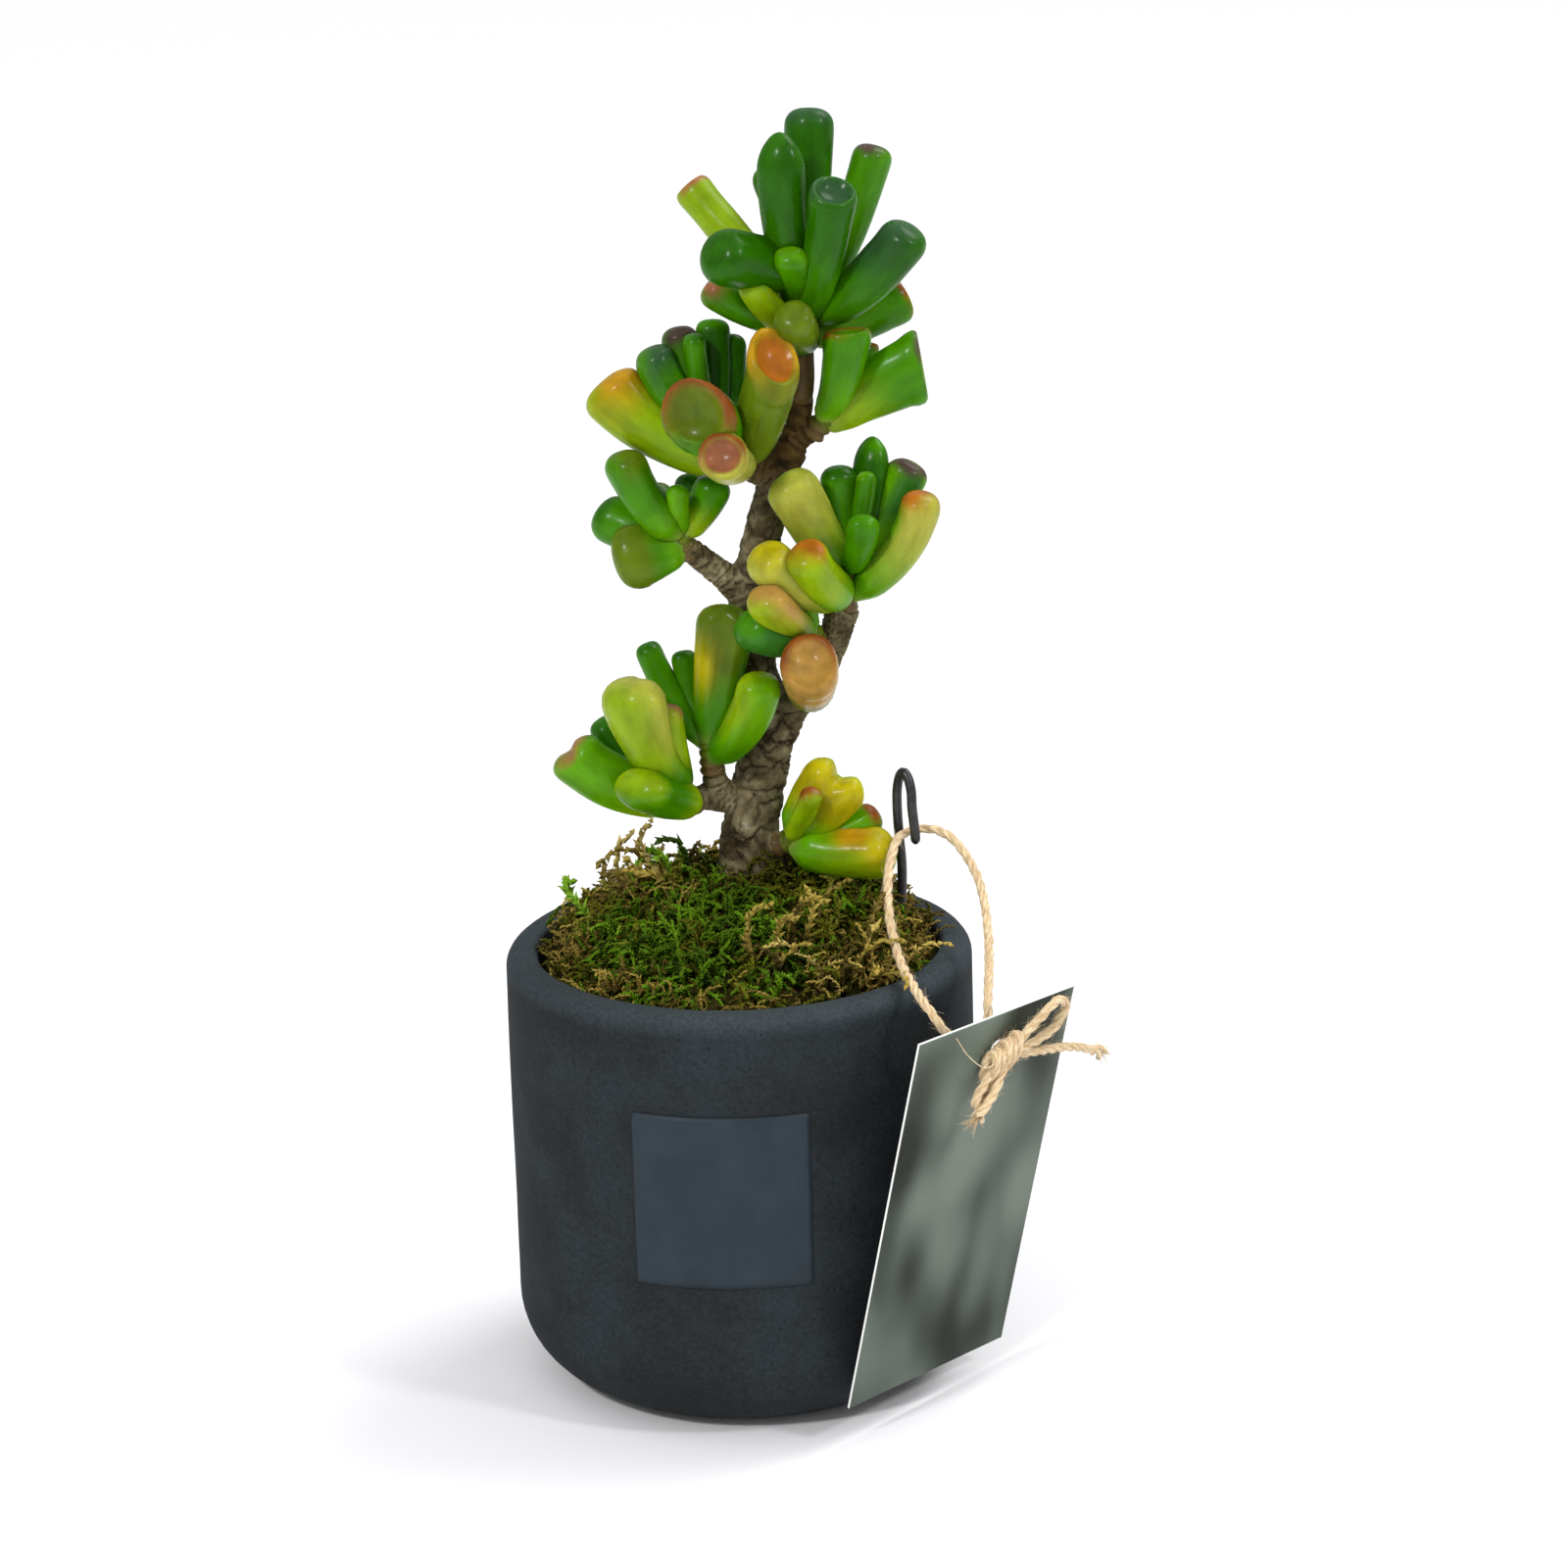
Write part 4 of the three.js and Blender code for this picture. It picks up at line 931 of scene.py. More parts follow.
# ------------------------------------------------------------------ pot
class BONSAI_OT_pot(Operator):
    """Add the concrete pot with its label film, and give the soil its finish"""
    bl_idname = "bonsai.pot"
    bl_label = "Pot"
    sides = 160
    straight_rings = 14
    bottom_fillet = 0.008              # inside, where the wall meets the floor
    inner_lip = 0.0015
    swell, pimples = 0.00018, 0.00005  # how far the cast skin strays, over 28 and 6 mm
    label_bearing = -96                # degrees round the pot from +X
    label_across = 360 / 42 * 5        # degrees: five of the CAD pot's 42 facets
    film_stand, film_thickness = 0.0004, 0.0005

    def execute(self, context):
        settings = context.scene.bonsai_pot
        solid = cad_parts["pot"].data
        radius = max(v.co.xy.length for v in solid.vertices)
        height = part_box("pot")[1].z
        pot = piece("concrete_pot", self.pot(settings, radius, height), cast_concrete(settings))
        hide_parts("pot")
        label = piece("label", self.label(radius), label_film(settings))
        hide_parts("pot_label")
        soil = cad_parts["soil"]
        soil.data.materials.clear()
        soil.data.materials.append(potting_soil())
        return {"FINISHED"}

    def pot(self, settings, radius, height):
        """The turned wall, a little uneven as a casting is."""
        inner = radius - settings.wall
        lip, foot, fillet, edge = settings.lip, settings.foot, self.bottom_fillet, self.inner_lip
        rise = height - lip - foot
        straight = [(radius, foot + rise * k / self.straight_rings) for k in range(1, self.straight_rings)]
        profile = [
            (0, 0), *arc((radius - foot, foot), foot, -90, 0, 14), *straight,
            *arc((radius - lip, height - lip), lip, 0, 90, 8),
            *arc((inner + edge, height - edge), edge, 90, 180, 5),
            *arc((inner - fillet, settings.floor + fillet), fillet, 0, -90, 6), (0, settings.floor),
        ]
        bm = spun(profile, self.sides)
        for v in bm.verts:
            uneven = noise.noise(v.co * every(28)) * self.swell + noise.noise(v.co * every(6)) * self.pimples
            if v.co.z > MM:
                v.co += v.normal * uneven
        return bm

    def label(self, radius):
        """The film: a square bent round the wall."""
        low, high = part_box("pot_label")
        half = math.radians(self.label_across) / 2 * radius
        bm = bmesh.new()
        bmesh.ops.create_grid(bm, x_segments=40, y_segments=24, size=1)
        skin = radius + self.film_stand
        for v in bm.verts:
            bearing = math.radians(self.label_bearing) + v.co.x * half / radius
            height = low.z + (high.z - low.z) * (v.co.y + 1) / 2
            v.co = Vector((skin * math.cos(bearing), skin * math.sin(bearing), height))
        bmesh.ops.recalc_face_normals(bm, faces=bm.faces[:])
        bmesh.ops.solidify(bm, geom=bm.faces[:], thickness=self.film_thickness)
        bmesh.ops.recalc_face_normals(bm, faces=bm.faces[:])
        return bm


# ------------------------------------------------------------------ moss
# The mound, in mm: height of its edge, rise to its middle, which it reaches over the spread,
# and height of its tufts.
MOSS_EDGE, MOSS_RISE, MOSS_SPREAD, MOSS_TUFT = 96, 17.5, 48, 1.3
MOSS_CENTRE = Vector((3, 6))


def moss_height(x, y):
    """Height of the moss's skin over a point, all in mm."""
    away = min((Vector((x, y)) - MOSS_CENTRE).length / MOSS_SPREAD, 1)
    edge = -2.5 * smoothstep(math.hypot(x, y), 40, 45)
    tufts = math.sin(0.55 * x + 0.8 * math.sin(0.35 * y)) * math.sin(0.6 * y + 0.9 * math.sin(0.4 * x))
    return MOSS_EDGE + MOSS_RISE * (1 - away ** 1.7) + edge + MOSS_TUFT * tufts


def apart(x, y, bed):
    """How far a point is from a bed's middle, in radii of the bed."""
    middle, radius = bed
    return Vector((x - middle[0], y - middle[1])).length / radius


class BONSAI_OT_moss(Operator):
    """Add the moss: a dark cushion under clumps of sprigs that are green, old or dry by
    their place, and a few strays that stand over it"""
    bl_idname = "bonsai.moss"
    bl_label = "Moss"
    clumps = 300
    clump_sprigs = 14
    clump_mm = 3.8                     # radius of a clump
    reach_mm = 43                      # how far from the axis they grow
    cushion_sunk, sprig_sunk = 2.2, 2.8    # mm under the mound's skin
    blade_radius = 0.0005              # of a moss leaf, at its root
    # Where each kind grows, as the middle and radius of a bed in mm.
    fresh_heart, fresh_tuft = ((-10, -20), 29), ((12, -14), 9)
    old_foot = ((6, 4), 34)
    dry_front, dry_back = ((18, -30), 9), ((-24, 8), 12)
    dry_ring = (31, 39)                # from the axis: where it starts and is full

    def execute(self, context):
        moss = context.scene.bonsai_moss
        draw = random.Random(moss.seed)
        cushion = piece("moss_cushion", self.cushion(), moss_cushion())
        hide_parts("moss")
        fresh = moss_sprig("Moss, fresh", linear("#0f2203"), tuple(moss.green), linear("#8fb838"))
        old = moss_sprig("Moss, old", linear("#0d1003"), tuple(moss.shade), linear("#a8a04a"))
        straw = moss_sprig("Moss, dry", linear("#2a1f0a"), tuple(moss.dry), linear("#cdbd84"))
        feathers = [self.sprig(draw, 7.6, 20, 0.26) for _ in range(7)]
        strands = [self.sprig(draw, 8.2, 14, 0.42) for _ in range(5)]
        beds = {"moss_fresh": (fresh, feathers, []), "moss_old": (old, feathers, []),
                "moss_dry": (straw, strands, [])}
        for k in range(self.clumps):
            x, y = self.spot((k + draw.random()) / self.clumps, k, draw)
            weights = [self.freshness(x, y), self.oldness(x, y), self.dryness(x, y)]
            name = draw.choices(list(beds), weights)[0]
            beds[name][2].extend(self.clump(draw, x, y))
        for x, y, towards, name in self.strays(draw):
            beds[name][2].append((x, y, towards, draw.uniform(1.1, 1.8), draw.random(), 1.2))
        for name, (material, sprigs, places) in beds.items():
            self.grow(name, material, sprigs, places, draw)
        for mesh in feathers + strands:
            bpy.data.meshes.remove(mesh)
        return {"FINISHED"}

    def cushion(self):
        """The mound under the sprigs, flush with the soil below."""
        low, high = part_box("moss")
        wall = (high.x - low.x) / 2
        rings = 26
        top = [(wall * (1 - k / rings), MOSS_EDGE * MM) for k in range(rings)]
        profile = [(0, low.z), (wall, low.z), *top, (0, MOSS_EDGE * MM)]
        bm = spun(profile, 90)
        for v in bm.verts:
            if v.co.z > low.z + MM:
                rough = 1.4 * noise.noise(v.co * every(3)) + 0.8 * noise.noise(v.co * every(1.4))
                skin = moss_height(v.co.x / MM, v.co.y / MM)
                v.co.z = (skin - self.cushion_sunk + rough) * MM
        return bm

    def sprig(self, draw, tall, leaves, stem):
        """One sprig, upright at the origin, sizes in mm: a bent stem with leaves round it."""
        tall *= MM
        bend = draw.uniform(0.3, 0.9) * tall
        swing = draw.uniform(-0.25, 0.25) * tall
        route = Route([(0, 0, 0), (bend * 0.15, swing, tall * 0.5), (bend * 0.6, swing, tall * 0.85),
                       (bend * 1.1, 0, tall * 0.9)])
        bodies = [tube(route, lambda s: stem * MM * (1.2 - s), 3, 4)]
        for k in range(leaves):
            share = 0.1 + 0.9 * k / (leaves - 1)
            spread = draw.uniform(34, 66) * (1.15 - 0.6 * share)
            size = draw.uniform(1.2, 2.2) * MM * (1.15 - 0.45 * share)
            side = math.radians(180 * k + draw.uniform(-70, 70))
            bm = bmesh.new()
            bmesh.ops.create_cone(bm, cap_ends=True, segments=3, radius1=self.blade_radius, radius2=0,
                                  depth=size, matrix=Matrix.Translation((0, 0, size / 2)))
            bmesh.ops.remove_doubles(bm, verts=bm.verts[:], dist=1e-7)
            laid = (route.frame(share) @ Matrix.Rotation(side, 4, "Z")
                    @ Matrix.Rotation(math.radians(spread), 4, "X"))
            bmesh.ops.transform(bm, matrix=laid, verts=bm.verts[:])
            bodies.append(bm)
        bm = gather(bodies)
        reach = bm.verts.layers.float.new("reach")
        for v in bm.verts:
            v[reach] = min(max(v.co.z / tall, 0), 1)
        bm.verts.layers.float_vector.remove(bm.verts.layers.float_vector["grain"])
        bm.verts.layers.float.new("tone_and_shade")
        return as_mesh("sprig", bm)

    def spot(self, share, k, draw):
        """Clump k's place inside the wall, on a spiral that covers it evenly."""
        away = self.reach_mm * math.sqrt(share)
        bearing = math.radians(137.5 * k + draw.uniform(-12, 12))
        return away * math.cos(bearing), away * math.sin(bearing)

    def freshness(self, x, y):
        """How much green moss grows at a point, in mm: most left of the middle, in front."""
        heart = 1 - apart(x, y, self.fresh_heart) ** 2
        return max(0.12, 1.5 * heart, 1.2 - apart(x, y, self.fresh_tuft))

    def oldness(self, x, y):
        """How much old moss: most round the trunk and behind it."""
        return max(0.4, 1.1 - apart(x, y, self.old_foot))

    def dryness(self, x, y):
        """How much dry moss: a ring along the wall, and patches at the right front and the
        left back."""
        ring = 1.3 * smoothstep(math.hypot(x, y), *self.dry_ring)
        return max(ring, 0.9 - apart(x, y, self.dry_front), 1 - apart(x, y, self.dry_back), 0.05)

    def clump(self, draw, x, y):
        """Places of a clump's sprigs, which fan out from its middle."""
        lift = draw.uniform(-1.8, 1.4) + 2 * noise.noise(Vector((x, y, 0)) / 8)
        tone = draw.random()
        rim = smoothstep(math.hypot(x, y), 34, 43)
        places = []
        for _ in range(self.clump_sprigs):
            bearing = draw.uniform(0, math.tau)
            away = draw.random() ** 0.6
            out = Vector((math.cos(bearing), math.sin(bearing), 0)) * away
            leaning = out * 1.1 + Vector((x, y, 0)) / self.reach_mm * (0.3 - 0.5 * rim)
            size = draw.uniform(0.5, 1.0) * (1.05 - 0.35 * away) * (1 - 0.2 * rim)
            # the tone: random, and lower where the clump sits lower: painted shade in hollows, painted light
            # on the raised
            tone_and_shade = min(max(0.6 * tone + 0.25 * draw.random() + 0.14 * lift, 0), 1)
            spot = Vector((x, y, 0)) + out * self.clump_mm
            if spot.length < self.reach_mm:
                places.append((spot.x, spot.y, leaning, size, tone_and_shade, lift))
        return places

    def strays(self, draw):
        """Long sprigs that stand free: at the left back, and at the right front."""
        left = [(draw.uniform(-36, -10), draw.uniform(2, 16), (draw.uniform(-1.5, 0.2), 0.1, 0),
                 draw.choice(("moss_old", "moss_dry", "moss_fresh"))) for _ in range(22)]
        front = [(draw.uniform(4, 36), draw.uniform(-34, -18), (draw.uniform(-0.8, 1.2), -0.3, 0),
                  "moss_dry") for _ in range(20)]
        return [(x, y, Vector(towards), name) for x, y, towards, name in left + front
                if math.hypot(x, y) < self.reach_mm]

    def grow(self, name, material, sprigs, places, draw):
        """A piece of many sprigs from their places, leans, sizes, tones, painted darker for low clumps as
        shade, and lifts.
        """
        whole = bmesh.new()
        for x, y, leaning, size, tone_and_shade, lift in places:
            up = (Vector((0, 0, 1)) + leaning).normalized()
            turn = Matrix.Rotation(draw.uniform(0, math.tau), 4, "Z")
            foot = Vector((x, y, moss_height(x, y) - self.sprig_sunk + lift)) * MM
            leant = up.to_track_quat("Z", "Y").to_matrix().to_4x4()
            copy = draw.choice(sprigs).copy()
            copy.transform(Matrix.Translation(foot) @ leant @ turn @ Matrix.Scale(size, 4))
            copy.attributes["tone_and_shade"].data.foreach_set("value", [tone_and_shade] * len(copy.vertices))
            whole.from_mesh(copy)
            bpy.data.meshes.remove(copy)
        return piece(name, whole, material)


# ------------------------------------------------------------------ plant
class BONSAI_OT_trunk(Operator):
    """Add the trunk and its branches, grown into one and roughened as jade bark"""
    bl_idname = "bonsai.trunk"
    bl_label = "Trunk"
    limb_sides, rings_per_station = 20, 4
    voxel = 0.00042
    smoothings = 4                     # of the forks, after the limbs are joined
    samples = 80                       # spans of a limb that its skin is measured against
    young_from = (0.198, 0.208)        # heights between which the bark turns young
    # Relief, in metres: limb radii between which plates take over from rings, rise of a
    # plate, depth of the crack round it, and height of coarse and fine lumps.
    thick_from = (0.0032, 0.0048)
    plate_rise, crack_depth = 0.0003, 0.00045
    lumps = (0.00035, 0.00016)
    plate_mm = (9, 9, 4.2)             # a plate's size along each axis
    # Depth of a ring of leaf scars, over the limb's radius, and how much less of it there is
    # on a thick limb.
    ring_depth, ring_loss = 0.19, 0.13

    def execute(self, context):
        limbs = [(spacing, self.route(stations), stations) for spacing, stations in LIMBS]
        bodies = [tube(route, self.radius(route, stations), self.limb_sides,
                       self.rings_per_station * len(stations)) for _, route, stations in limbs]
        trunk = piece("bark", gather(bodies), jade_bark(context.scene.bonsai_plant))
        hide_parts("trunk")
        remesh = trunk.modifiers.new("grown together", "REMESH")
        remesh.mode = "VOXEL"
        remesh.voxel_size = self.voxel
        remesh.use_smooth_shade = True
        applied(trunk)
        # Without this, noise_vector draws other numbers at each start of Blender.
        noise.seed_set(context.scene.bonsai_plant.seed)
        self.roughen(trunk, limbs)
        return {"FINISHED"}

    @staticmethod
    def route(stations):
        """The way of a limb through its stations."""
        return Route([Vector(s[:3]) * MM for s in stations])

    @staticmethod
    def radius(route, stations):
        """The limb's radius by the share of its length, from its stations."""
        def rule(share):
            at = route.station(share)
            k = min(int(at), len(stations) - 2)
            return (stations[k][3] + (stations[k + 1][3] - stations[k][3]) * (at - k)) * MM
        return rule

    def roughen(self, trunk, limbs):
        """Smooths the forks, then raises rings of leaf scars and sinks cracks between plates."""
        samples = []
        for spacing, route, stations in limbs:
            radius = self.radius(route, stations)
            for k in range(self.samples + 1):
                share = k / self.samples
                samples.append((route.at(share), spacing, share * route.length, radius(share)))
        tree = kdtree.KDTree(len(samples))
        for index, sample in enumerate(samples):
            tree.insert(sample[0], index)
        tree.balance()
        bm = bmesh.new()
        bm.from_mesh(trunk.data)
        for _ in range(self.smoothings):
            bmesh.ops.smooth_vert(bm, verts=bm.verts[:], factor=0.5, use_axis_x=True, use_axis_y=True,
                                  use_axis_z=True)
        bm.normal_update()
        crack_and_shade = bm.verts.layers.float.new("crack_and_shade")
        young = bm.verts.layers.float.new("young")
        moved = []
        for v in bm.verts:
            index = min(tree.find_n(v.co, 6), key=lambda hit: abs(hit[2] - samples[hit[1]][3]))[1]
            _, spacing, along, radius = samples[index]
            out, depth = self.relief(v.co, spacing, along / MM, radius)
            # how dark the bark is painted here: crack colour and painted shade
            v[crack_and_shade] = depth
            v[young] = smoothstep(v.co.z, *self.young_from)
            moved.append(v.co + v.normal * out)
        for v, place in zip(bm.verts, moved):
            v.co = place
        bm.to_mesh(trunk.data)
        bm.free()

    def relief(self, place, spacing, along, radius):
        """How far the bark stands out there, in metres, and how dark it is painted: the cracks' own colour,
        and painted shade in cracks, leaf-scar grooves and low ground between plates.
        """
        warp = noise.noise(place * every(6)) + 0.4 * noise.noise(place * every(2.5))
        wave = math.cos(math.tau * (along / spacing + 0.7 * warp))
        thick_limb = smoothstep(radius, *self.thick_from)
        broken = smoothstep(noise.noise(place * every(9) + Vector((7, 0, 0))), -0.25, 0.3)
        wrinkle = max(0.0, -wave - 0.35) / 0.65 * max(broken, 0.9 - thick_limb)
        stretched = Vector([at / size for at, size in zip(place, self.plate_mm)]) / MM
        shaken = (stretched + 0.55 * noise.noise_vector(place * every(5))
                  + 0.12 * noise.noise_vector(place * every(1.6)))
        near, next_near = noise.voronoi(shaken)[0][:2]
        edge = next_near - near
        split = (1 - smoothstep(edge, 0.015, 0.09)) * thick_limb
        swell = smoothstep(edge, 0.02, 0.5) * thick_limb
        lumps = (self.lumps[0] * noise.noise(place * every(4.2))
                 + self.lumps[1] * noise.noise(place * every(1.5)))
        ring = (self.ring_depth - self.ring_loss * thick_limb) * radius * wrinkle
        out = lumps + self.plate_rise * swell - self.crack_depth * split - ring
        # the darkness: splits, leaf-scar grooves and ground between plates, partly crack colour, partly
        # painted shade
        return out, min(0.7 * split + 0.6 * wrinkle + 0.35 * (1 - swell) * thick_limb, 1)


class BONSAI_OT_leaves(Operator):
    """Add every leafy shoot, each one piece with its stem and its leaves"""
    bl_idname = "bonsai.leaves"
    bl_label = "Leaves"
    sides = 22
    outline_steps = 3                  # points that each span of an outline gets, about
    curve_points = 24
    unevenness = 0.1                   # of a leaf's fullness
    stem_sides, stem_rings = 16, 12
    stem_ripple = 0.0003
    sunk_mm = 2.5                      # how far a stem goes on into its limb

    def execute(self, context):
        plant = context.scene.bonsai_plant
        material = jade_leaf()
        draw = random.Random(plant.seed)
        for name, plan in SHOOTS.items():
            route = BONSAI_OT_trunk.route(plan["stem"])
            bodies = [self.stem(plan["stem"])]
            for kind, outline in OUTLINES.items():
                bodies += [self.leaf(kind, outline, one, route, draw) for one in plan.get(kind, ())]
            shoot = piece(name.replace("shoot", "leaves"), gather(bodies), material)
            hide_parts(name)
        return {"FINISHED"}

    def stem(self, stations):
        """The green stem, browned at its foot, which is sunk in the limb it grows from."""
        foot, following = Vector(stations[0][:3]), Vector(stations[1][:3])
        sunk = foot - (following - foot).normalized() * self.sunk_mm
        stations = [(*sunk, stations[0][3]), *stations]
        route = BONSAI_OT_trunk.route(stations)
        bm = tube(route, BONSAI_OT_trunk.radius(route, stations), self.stem_sides, self.stem_rings)
        skin = bm.verts.layers.float_color.new("skin")
        brown, top = linear(SKIN["brown"]), linear(SKIN["olive"])
        grain = bm.verts.layers.float_vector["grain"]
        for v in bm.verts:
            share = v[grain].z / route.length
            v[skin] = rgba(mix(brown, top, smoothstep(share, 0.3, 0.8)))
            v.co += v.normal * self.stem_ripple * math.sin(v[grain].z * every(0.35))
        return bm

    def leaf(self, kind, outline, plan, stem, draw):
        """One leaf, spun from its outline and laid along its own curve."""
        root = stem.at(min(plan["up"] * MM / stem.length, 1))
        end = Vector(plan["tip"]) * MM
        along = (end - root).normalized()
        end += along * MM              # the skin ends a millimetre past the plan's point
        outward = Vector((along.x, along.y, 0)).normalized()
        face = Vector(plan["face"] or outward.cross(Vector((0, 0, 1))).cross(along))
        face = (face - along * face.dot(along)).normalized()
        middle = (root + end) / 2 - face * 2 * plan["bow"] * MM
        curve = interpolate_bezier(root, root.lerp(middle, 2 / 3), end.lerp(middle, 2 / 3), end,
                                   self.curve_points)
        route = Route(curve, face=face, smooth=False)
        bm = spun(self.fine(outline), self.sides)
        skin = bm.verts.layers.float_color.new("skin")
        grain = bm.verts.layers.float_vector.new("grain")
        half = plan["wide"] / 2 * MM
        seed = Vector((draw.uniform(0, 50), draw.uniform(0, 50), draw.uniform(0, 50)))
        lean = math.tan(math.radians(plan["cut"]))
        cap = min(CAP_SPAN[kind] * half / route.length, 0.5)
        for v in bm.verts:
            x, y, share = v.co
            v[skin] = self.skin(kind, plan, x, y, share, seed)
            away = math.hypot(x, y)
            if away > 0:
                belly = smoothstep(share, 0, 0.22) * (1 - smoothstep(share, 0.6, CAP))
                fuller = away ** (-plan["full"] * belly)
                fuller *= 1 + self.unevenness * noise.noise(Vector((0.8 * x, 0.8 * y, 2.6 * share)) + seed)
                x, y = x * fuller, y * fuller
            dent = plan["crease"] * max(0, y) * math.exp(-((x / 0.22) ** 2)) * smoothstep(share, 0.15, 0.45)
            wide, up = x * half, (y - dent) * half * plan["thick"]
            across = x if plan["thick"] < 1 else y
            slant = up * lean + plan["cleft"] * MM * math.exp(-((across / 0.3) ** 2))
            share -= slant * smoothstep(share, 0.55, 1) / route.length
            share = share / CAP * (1 - cap) if share < CAP else 1 - (1 - share) / (1 - CAP) * cap
            v[grain] = Vector((wide, up, share * route.length)) + seed * 0.01
            v.co = route.frame(share) @ Vector((wide, up, 0))
        bmesh.ops.recalc_face_normals(bm, faces=bm.faces[:])
        return bm

    def fine(self, outline):
        """The outline with points between its points, on a smooth curve."""
        points = Route.rounded([Vector((r, s, 0)) for r, s in outline[1:]])
        kept = points[::max(1, SPAN_STEPS // self.outline_steps)]
        rest = [(max(p.x, 0), p.y) for p in kept if p.x > 0.02]
        return [outline[0], *rest, outline[-1]]

    @staticmethod
    def skin(kind, plan, x, y, share, seed):
        """The leaf's colour at a point of its unbent form."""
        body = linear(SKIN[plan["body"]])
        patch = noise.noise(Vector((1.3 * x, 1.3 * y, 3 * share)) + seed)
        shade = mix(linear(SKIN[plan["root"]]), body, smoothstep(share, 0.15, 0.7))
        top = smoothstep(y + 0.25 * patch, 0.35, 0.75) * smoothstep(share, 0.3, 0.6)
        shade = mix(shade, linear(SKIN[plan["ridge"]]), top)
        side = smoothstep(x, 0, 0.35) * smoothstep(share, 0.25, 0.55)
        shade = mix(shade, linear(SKIN[plan["flank"]]), side)
        reach = plan["reach"]
        blush = smoothstep(share + 0.08 * patch, 0.96 - 1.9 * reach, 1.02 - 0.7 * reach)
        blush *= 0.1 + 0.9 * smoothstep(y + 0.3 * patch, -0.9, 0.3)
        if kind == "horns" and share > CAP:
            inside = 1 - smoothstep(math.hypot(x, y), 0.62, 0.84)
            shade = mix(shade, linear(SKIN[plan["dish"]]), inside)
            blush *= 1 - 0.92 * inside
        shade = mix(shade, linear(SKIN[plan["end"]]), min(max(blush, 0), 1))
        foot = smoothstep(0.16 - share, 0, 0.14) * 0.5
        return rgba(mix(shade, linear(SKIN["pale"]), foot))


# ------------------------------------------------------------------ hook and tag
class BONSAI_OT_tag(Operator):
    """Add the wire hook and the card tag"""
    bl_idname = "bonsai.tag"
    bl_label = "Hook and tag"
    wire_sides, wire_rings = 14, 150

    def execute(self, context):
        settings = context.scene.bonsai_tag
        hook = piece("hook", self.hook(), black_enamel(settings))
        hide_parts("wire_hook")
        card = piece("tag", self.card(), printed_card(settings), smooth=False)
        card.data.materials.append(cut_paper(settings))
        self.punch(card)
        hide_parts("tag_card")
        return {"FINISHED"}

    def hook(self):
        """The wire, its free end rounded by the cutter."""
        route = Route(HOOK_ROUTE)

        def radius(share):
            left = (1 - share) * route.length / WIRE_DIAMETER
            return WIRE_DIAMETER / 2 * math.sqrt(1 - (1 - min(max(left, 0.02), 0.5) * 2) ** 2 * 0.9)
        return tube(route, radius, self.wire_sides, self.wire_rings)

    def card(self):
        """The card's plate, upright on the middle of its lower edge."""
        wide, tall = TAG_SIZE
        bm = bmesh.new()
        bmesh.ops.create_cube(bm, size=1)
        bmesh.ops.transform(bm, matrix=Matrix.Diagonal((wide, CARD_THICKNESS, tall, 1)), verts=bm.verts[:])
        bmesh.ops.translate(bm, vec=(0, 0, tall / 2), verts=bm.verts[:])
        return bm

    def punch(self, card):
        """Punches the hole, lays the map and stands the card where it hangs."""
        bm = bmesh.new()
        bmesh.ops.create_cone(bm, cap_ends=True, segments=40, radius1=TAG_HOLE_ACROSS / 2,
                              radius2=TAG_HOLE_ACROSS / 2, depth=0.01,
                              matrix=Matrix.Translation((TAG_HOLE[0], 0, TAG_HOLE[1]))
                              @ Matrix.Rotation(math.pi / 2, 4, "X"))
        mesh = as_mesh("punch", bm)
        punch = placed("punch", mesh)
        cut = card.modifiers.new("hole", "BOOLEAN")
        cut.operation = "DIFFERENCE"
        cut.object = punch
        applied(card)
        bpy.data.objects.remove(punch)
        bpy.data.meshes.remove(mesh)
        bm = bmesh.new()
        bm.from_mesh(card.data)
        laid = bm.loops.layers.uv.new("card")
        for face in bm.faces:
            face.material_index = 0 if abs(face.normal.y) > 0.9 else 1
            for loop in face.loops:
                loop[laid].uv = (loop.vert.co.x, loop.vert.co.z)
        bmesh.ops.transform(bm, matrix=card_frame(), verts=bm.verts[:])
        bm.to_mesh(card.data)
        bm.free()


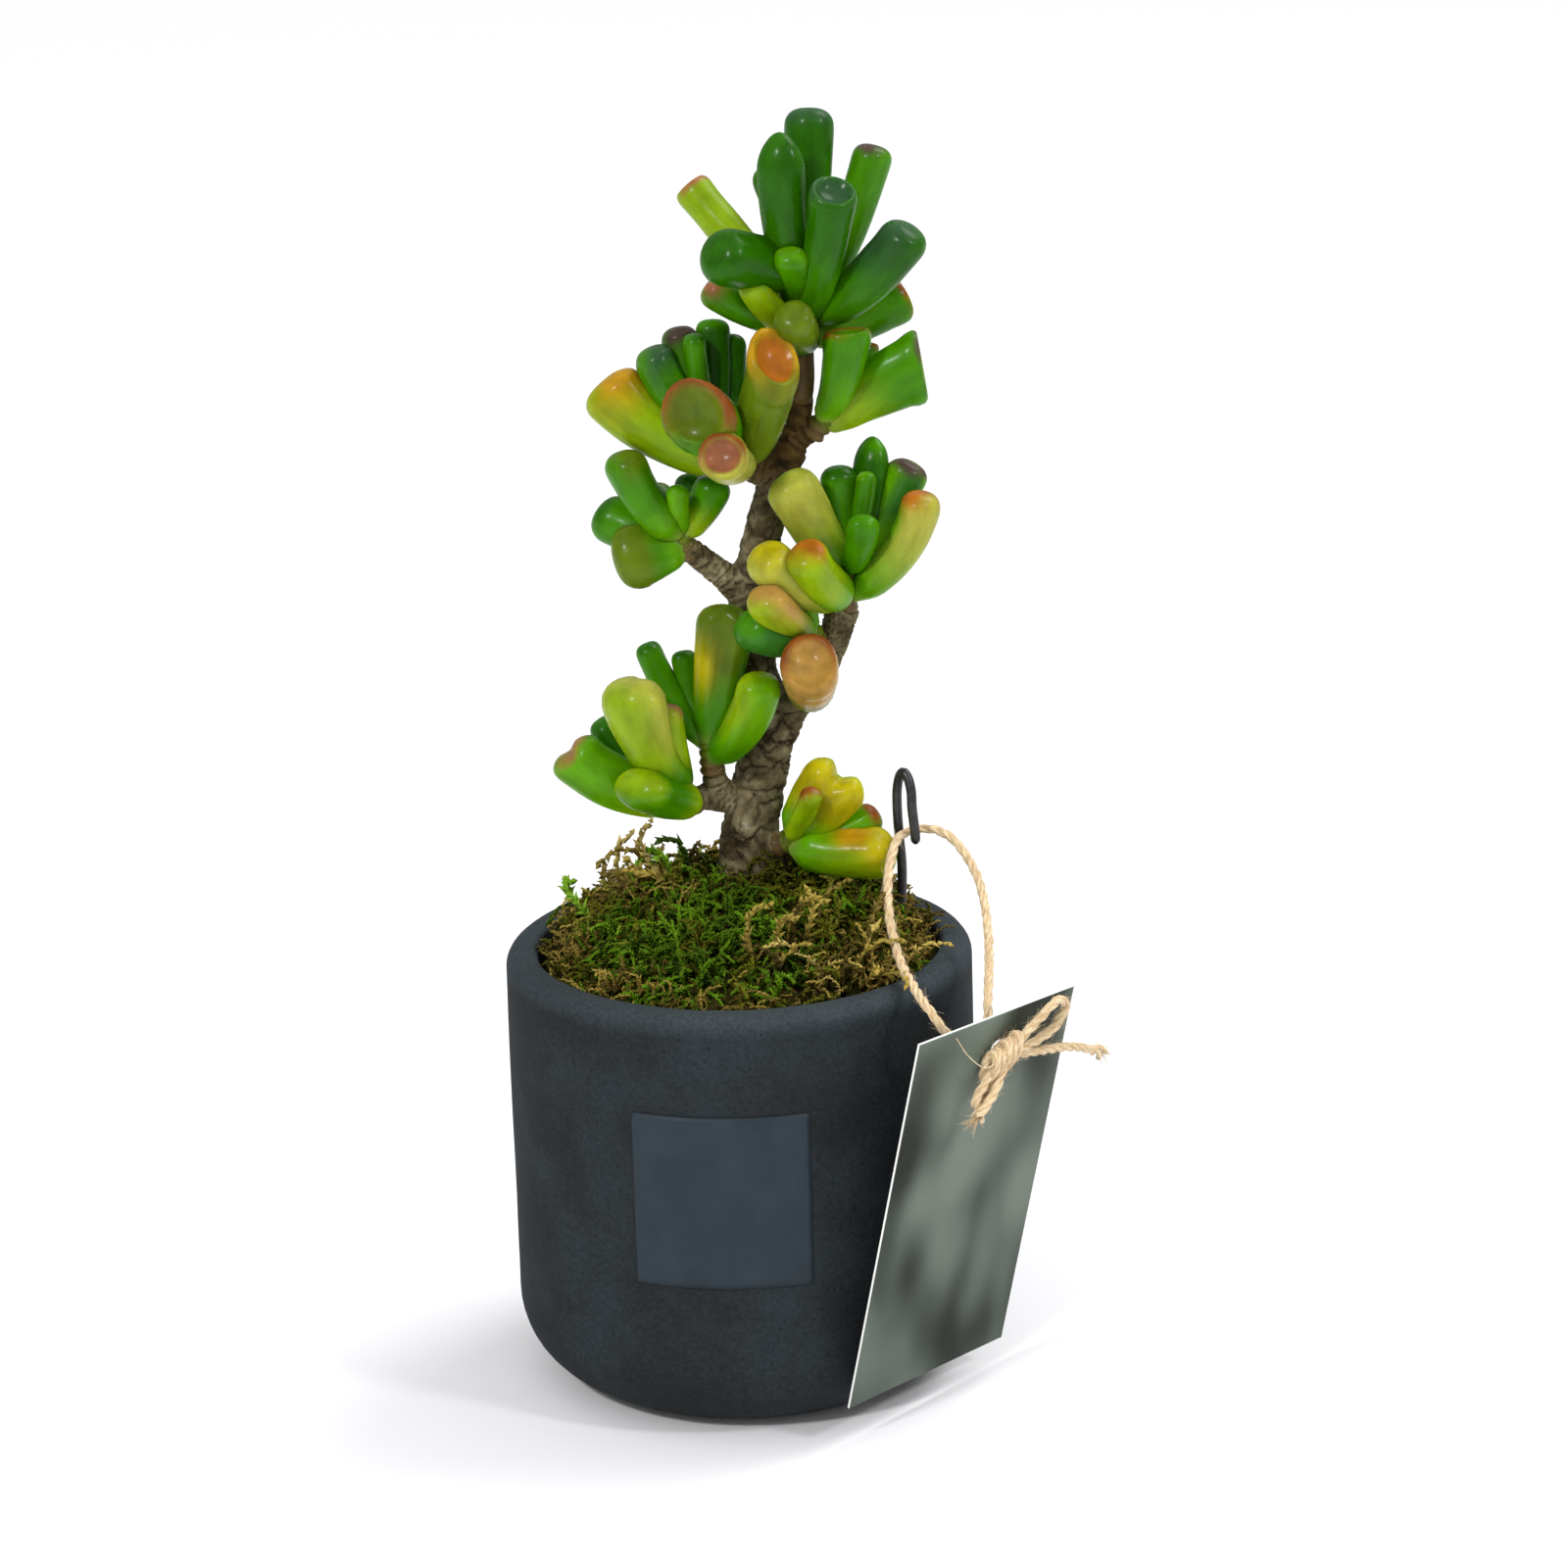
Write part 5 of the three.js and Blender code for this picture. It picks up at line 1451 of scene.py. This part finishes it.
# ------------------------------------------------------------------ stage
class BONSAI_OT_stage(Operator):
    """Add the pale floor and the soft studio light"""
    bl_idname = "bonsai.stage"
    bl_label = "Stage"
    floor_radius = 12                  # metres
    sun_spread = 35                    # degrees, which soften the shadow's edge
    sun_aim = (-0.55, -0.3, -0.8)
    # Soft boxes: name, place, diameter in metres, and power in watts.
    lamps = (("window", (-0.6, -0.9, 0.95), 0.16, 8.0), ("fill", (0.75, -0.5, 0.8), 0.14, 3.0))
    lamp_aim = (0, 0, 0.12)
    sky_levels = (0.5, 1.35)           # of its strength, at the horizon and above

    def execute(self, context):
        settings = context.scene.bonsai_stage
        bm = bmesh.new()
        bmesh.ops.create_circle(bm, cap_ends=True, segments=64, radius=self.floor_radius)
        mesh = as_mesh("floor", bm)
        mesh.materials.append(plain_floor(settings))
        floor = placed("floor", mesh)
        sun = bpy.data.lights.new("sun", "SUN")
        sun.energy = settings.key
        sun.angle = math.radians(self.sun_spread)
        placed("sun", sun).rotation_euler = self.turned_to(Vector(self.sun_aim))
        for lamp in self.lamps:
            self.lamp(*lamp)
        self.sky(context.scene, settings.sky)
        context.scene.view_settings.view_transform = "Standard"
        return {"FINISHED"}

    @staticmethod
    def turned_to(aim):
        """The turn that makes a lamp shine along the aim."""
        return aim.to_track_quat("-Z", "Y").to_euler()

    def sky(self, scene, strength):
        """Even light, brighter from above than from the sides."""
        world = bpy.data.worlds.new("sky")
        world.use_nodes = True
        tree = world.node_tree
        low, high = self.sky_levels
        way = add(tree, "TexCoord").outputs["Generated"]
        height = add(tree, "SeparateXYZ", {"Vector": way}).outputs["Z"]
        level = add(tree, "MapRange", {"Value": height, "From Max": 0.9, "To Min": low * strength,
                                       "To Max": high * strength})
        feed(tree, tree.nodes["Background"], {"Strength": level, "Color": (1, 1, 1, 1)})
        scene.world = world

    def lamp(self, name, place, size, power):
        """A soft box aimed at the plant."""
        data = bpy.data.lights.new(name, "AREA")
        data.shape = "DISK"
        data.size = size
        data.energy = power
        lamp = placed(name, data)
        lamp.location = place
        lamp.rotation_euler = self.turned_to(Vector(self.lamp_aim) - Vector(place))


# ------------------------------------------------------------------ add-on
STEPS = (BONSAI_OT_camera, BONSAI_OT_twine, BONSAI_OT_pot, BONSAI_OT_moss, BONSAI_OT_trunk,
         BONSAI_OT_leaves, BONSAI_OT_tag, BONSAI_OT_stage)
SETTINGS = {"bonsai_pot": PotSettings, "bonsai_plant": PlantSettings, "bonsai_moss": MossSettings,
            "bonsai_tag": TagSettings, "bonsai_stage": StageSettings}


class BONSAI_PT_panel(Panel):
    """Lists the pieces and their settings"""
    bl_idname = "BONSAI_PT_panel"
    bl_label = "Jade bonsai"
    bl_space_type = "VIEW_3D"
    bl_region_type = "UI"
    bl_category = "Bonsai"

    def draw(self, context):
        for step in STEPS:
            self.layout.operator(step.bl_idname)
        for name, group in SETTINGS.items():
            settings = getattr(context.scene, name)
            for key in group.__annotations__:
                self.layout.prop(settings, key)


def register():
    for made in (*SETTINGS.values(), *STEPS, BONSAI_PT_panel):
        bpy.utils.register_class(made)
    for name, group in SETTINGS.items():
        setattr(bpy.types.Scene, name, PointerProperty(type=group))


def unregister():
    for name in SETTINGS:
        delattr(bpy.types.Scene, name)
    for made in reversed((*SETTINGS.values(), *STEPS, BONSAI_PT_panel)):
        bpy.utils.unregister_class(made)


def main():
    """Makes every piece in order."""
    register()
    for step in STEPS:
        getattr(bpy.ops.bonsai, step.bl_idname.split(".")[1])()


if __name__ == "__main__":
    main()
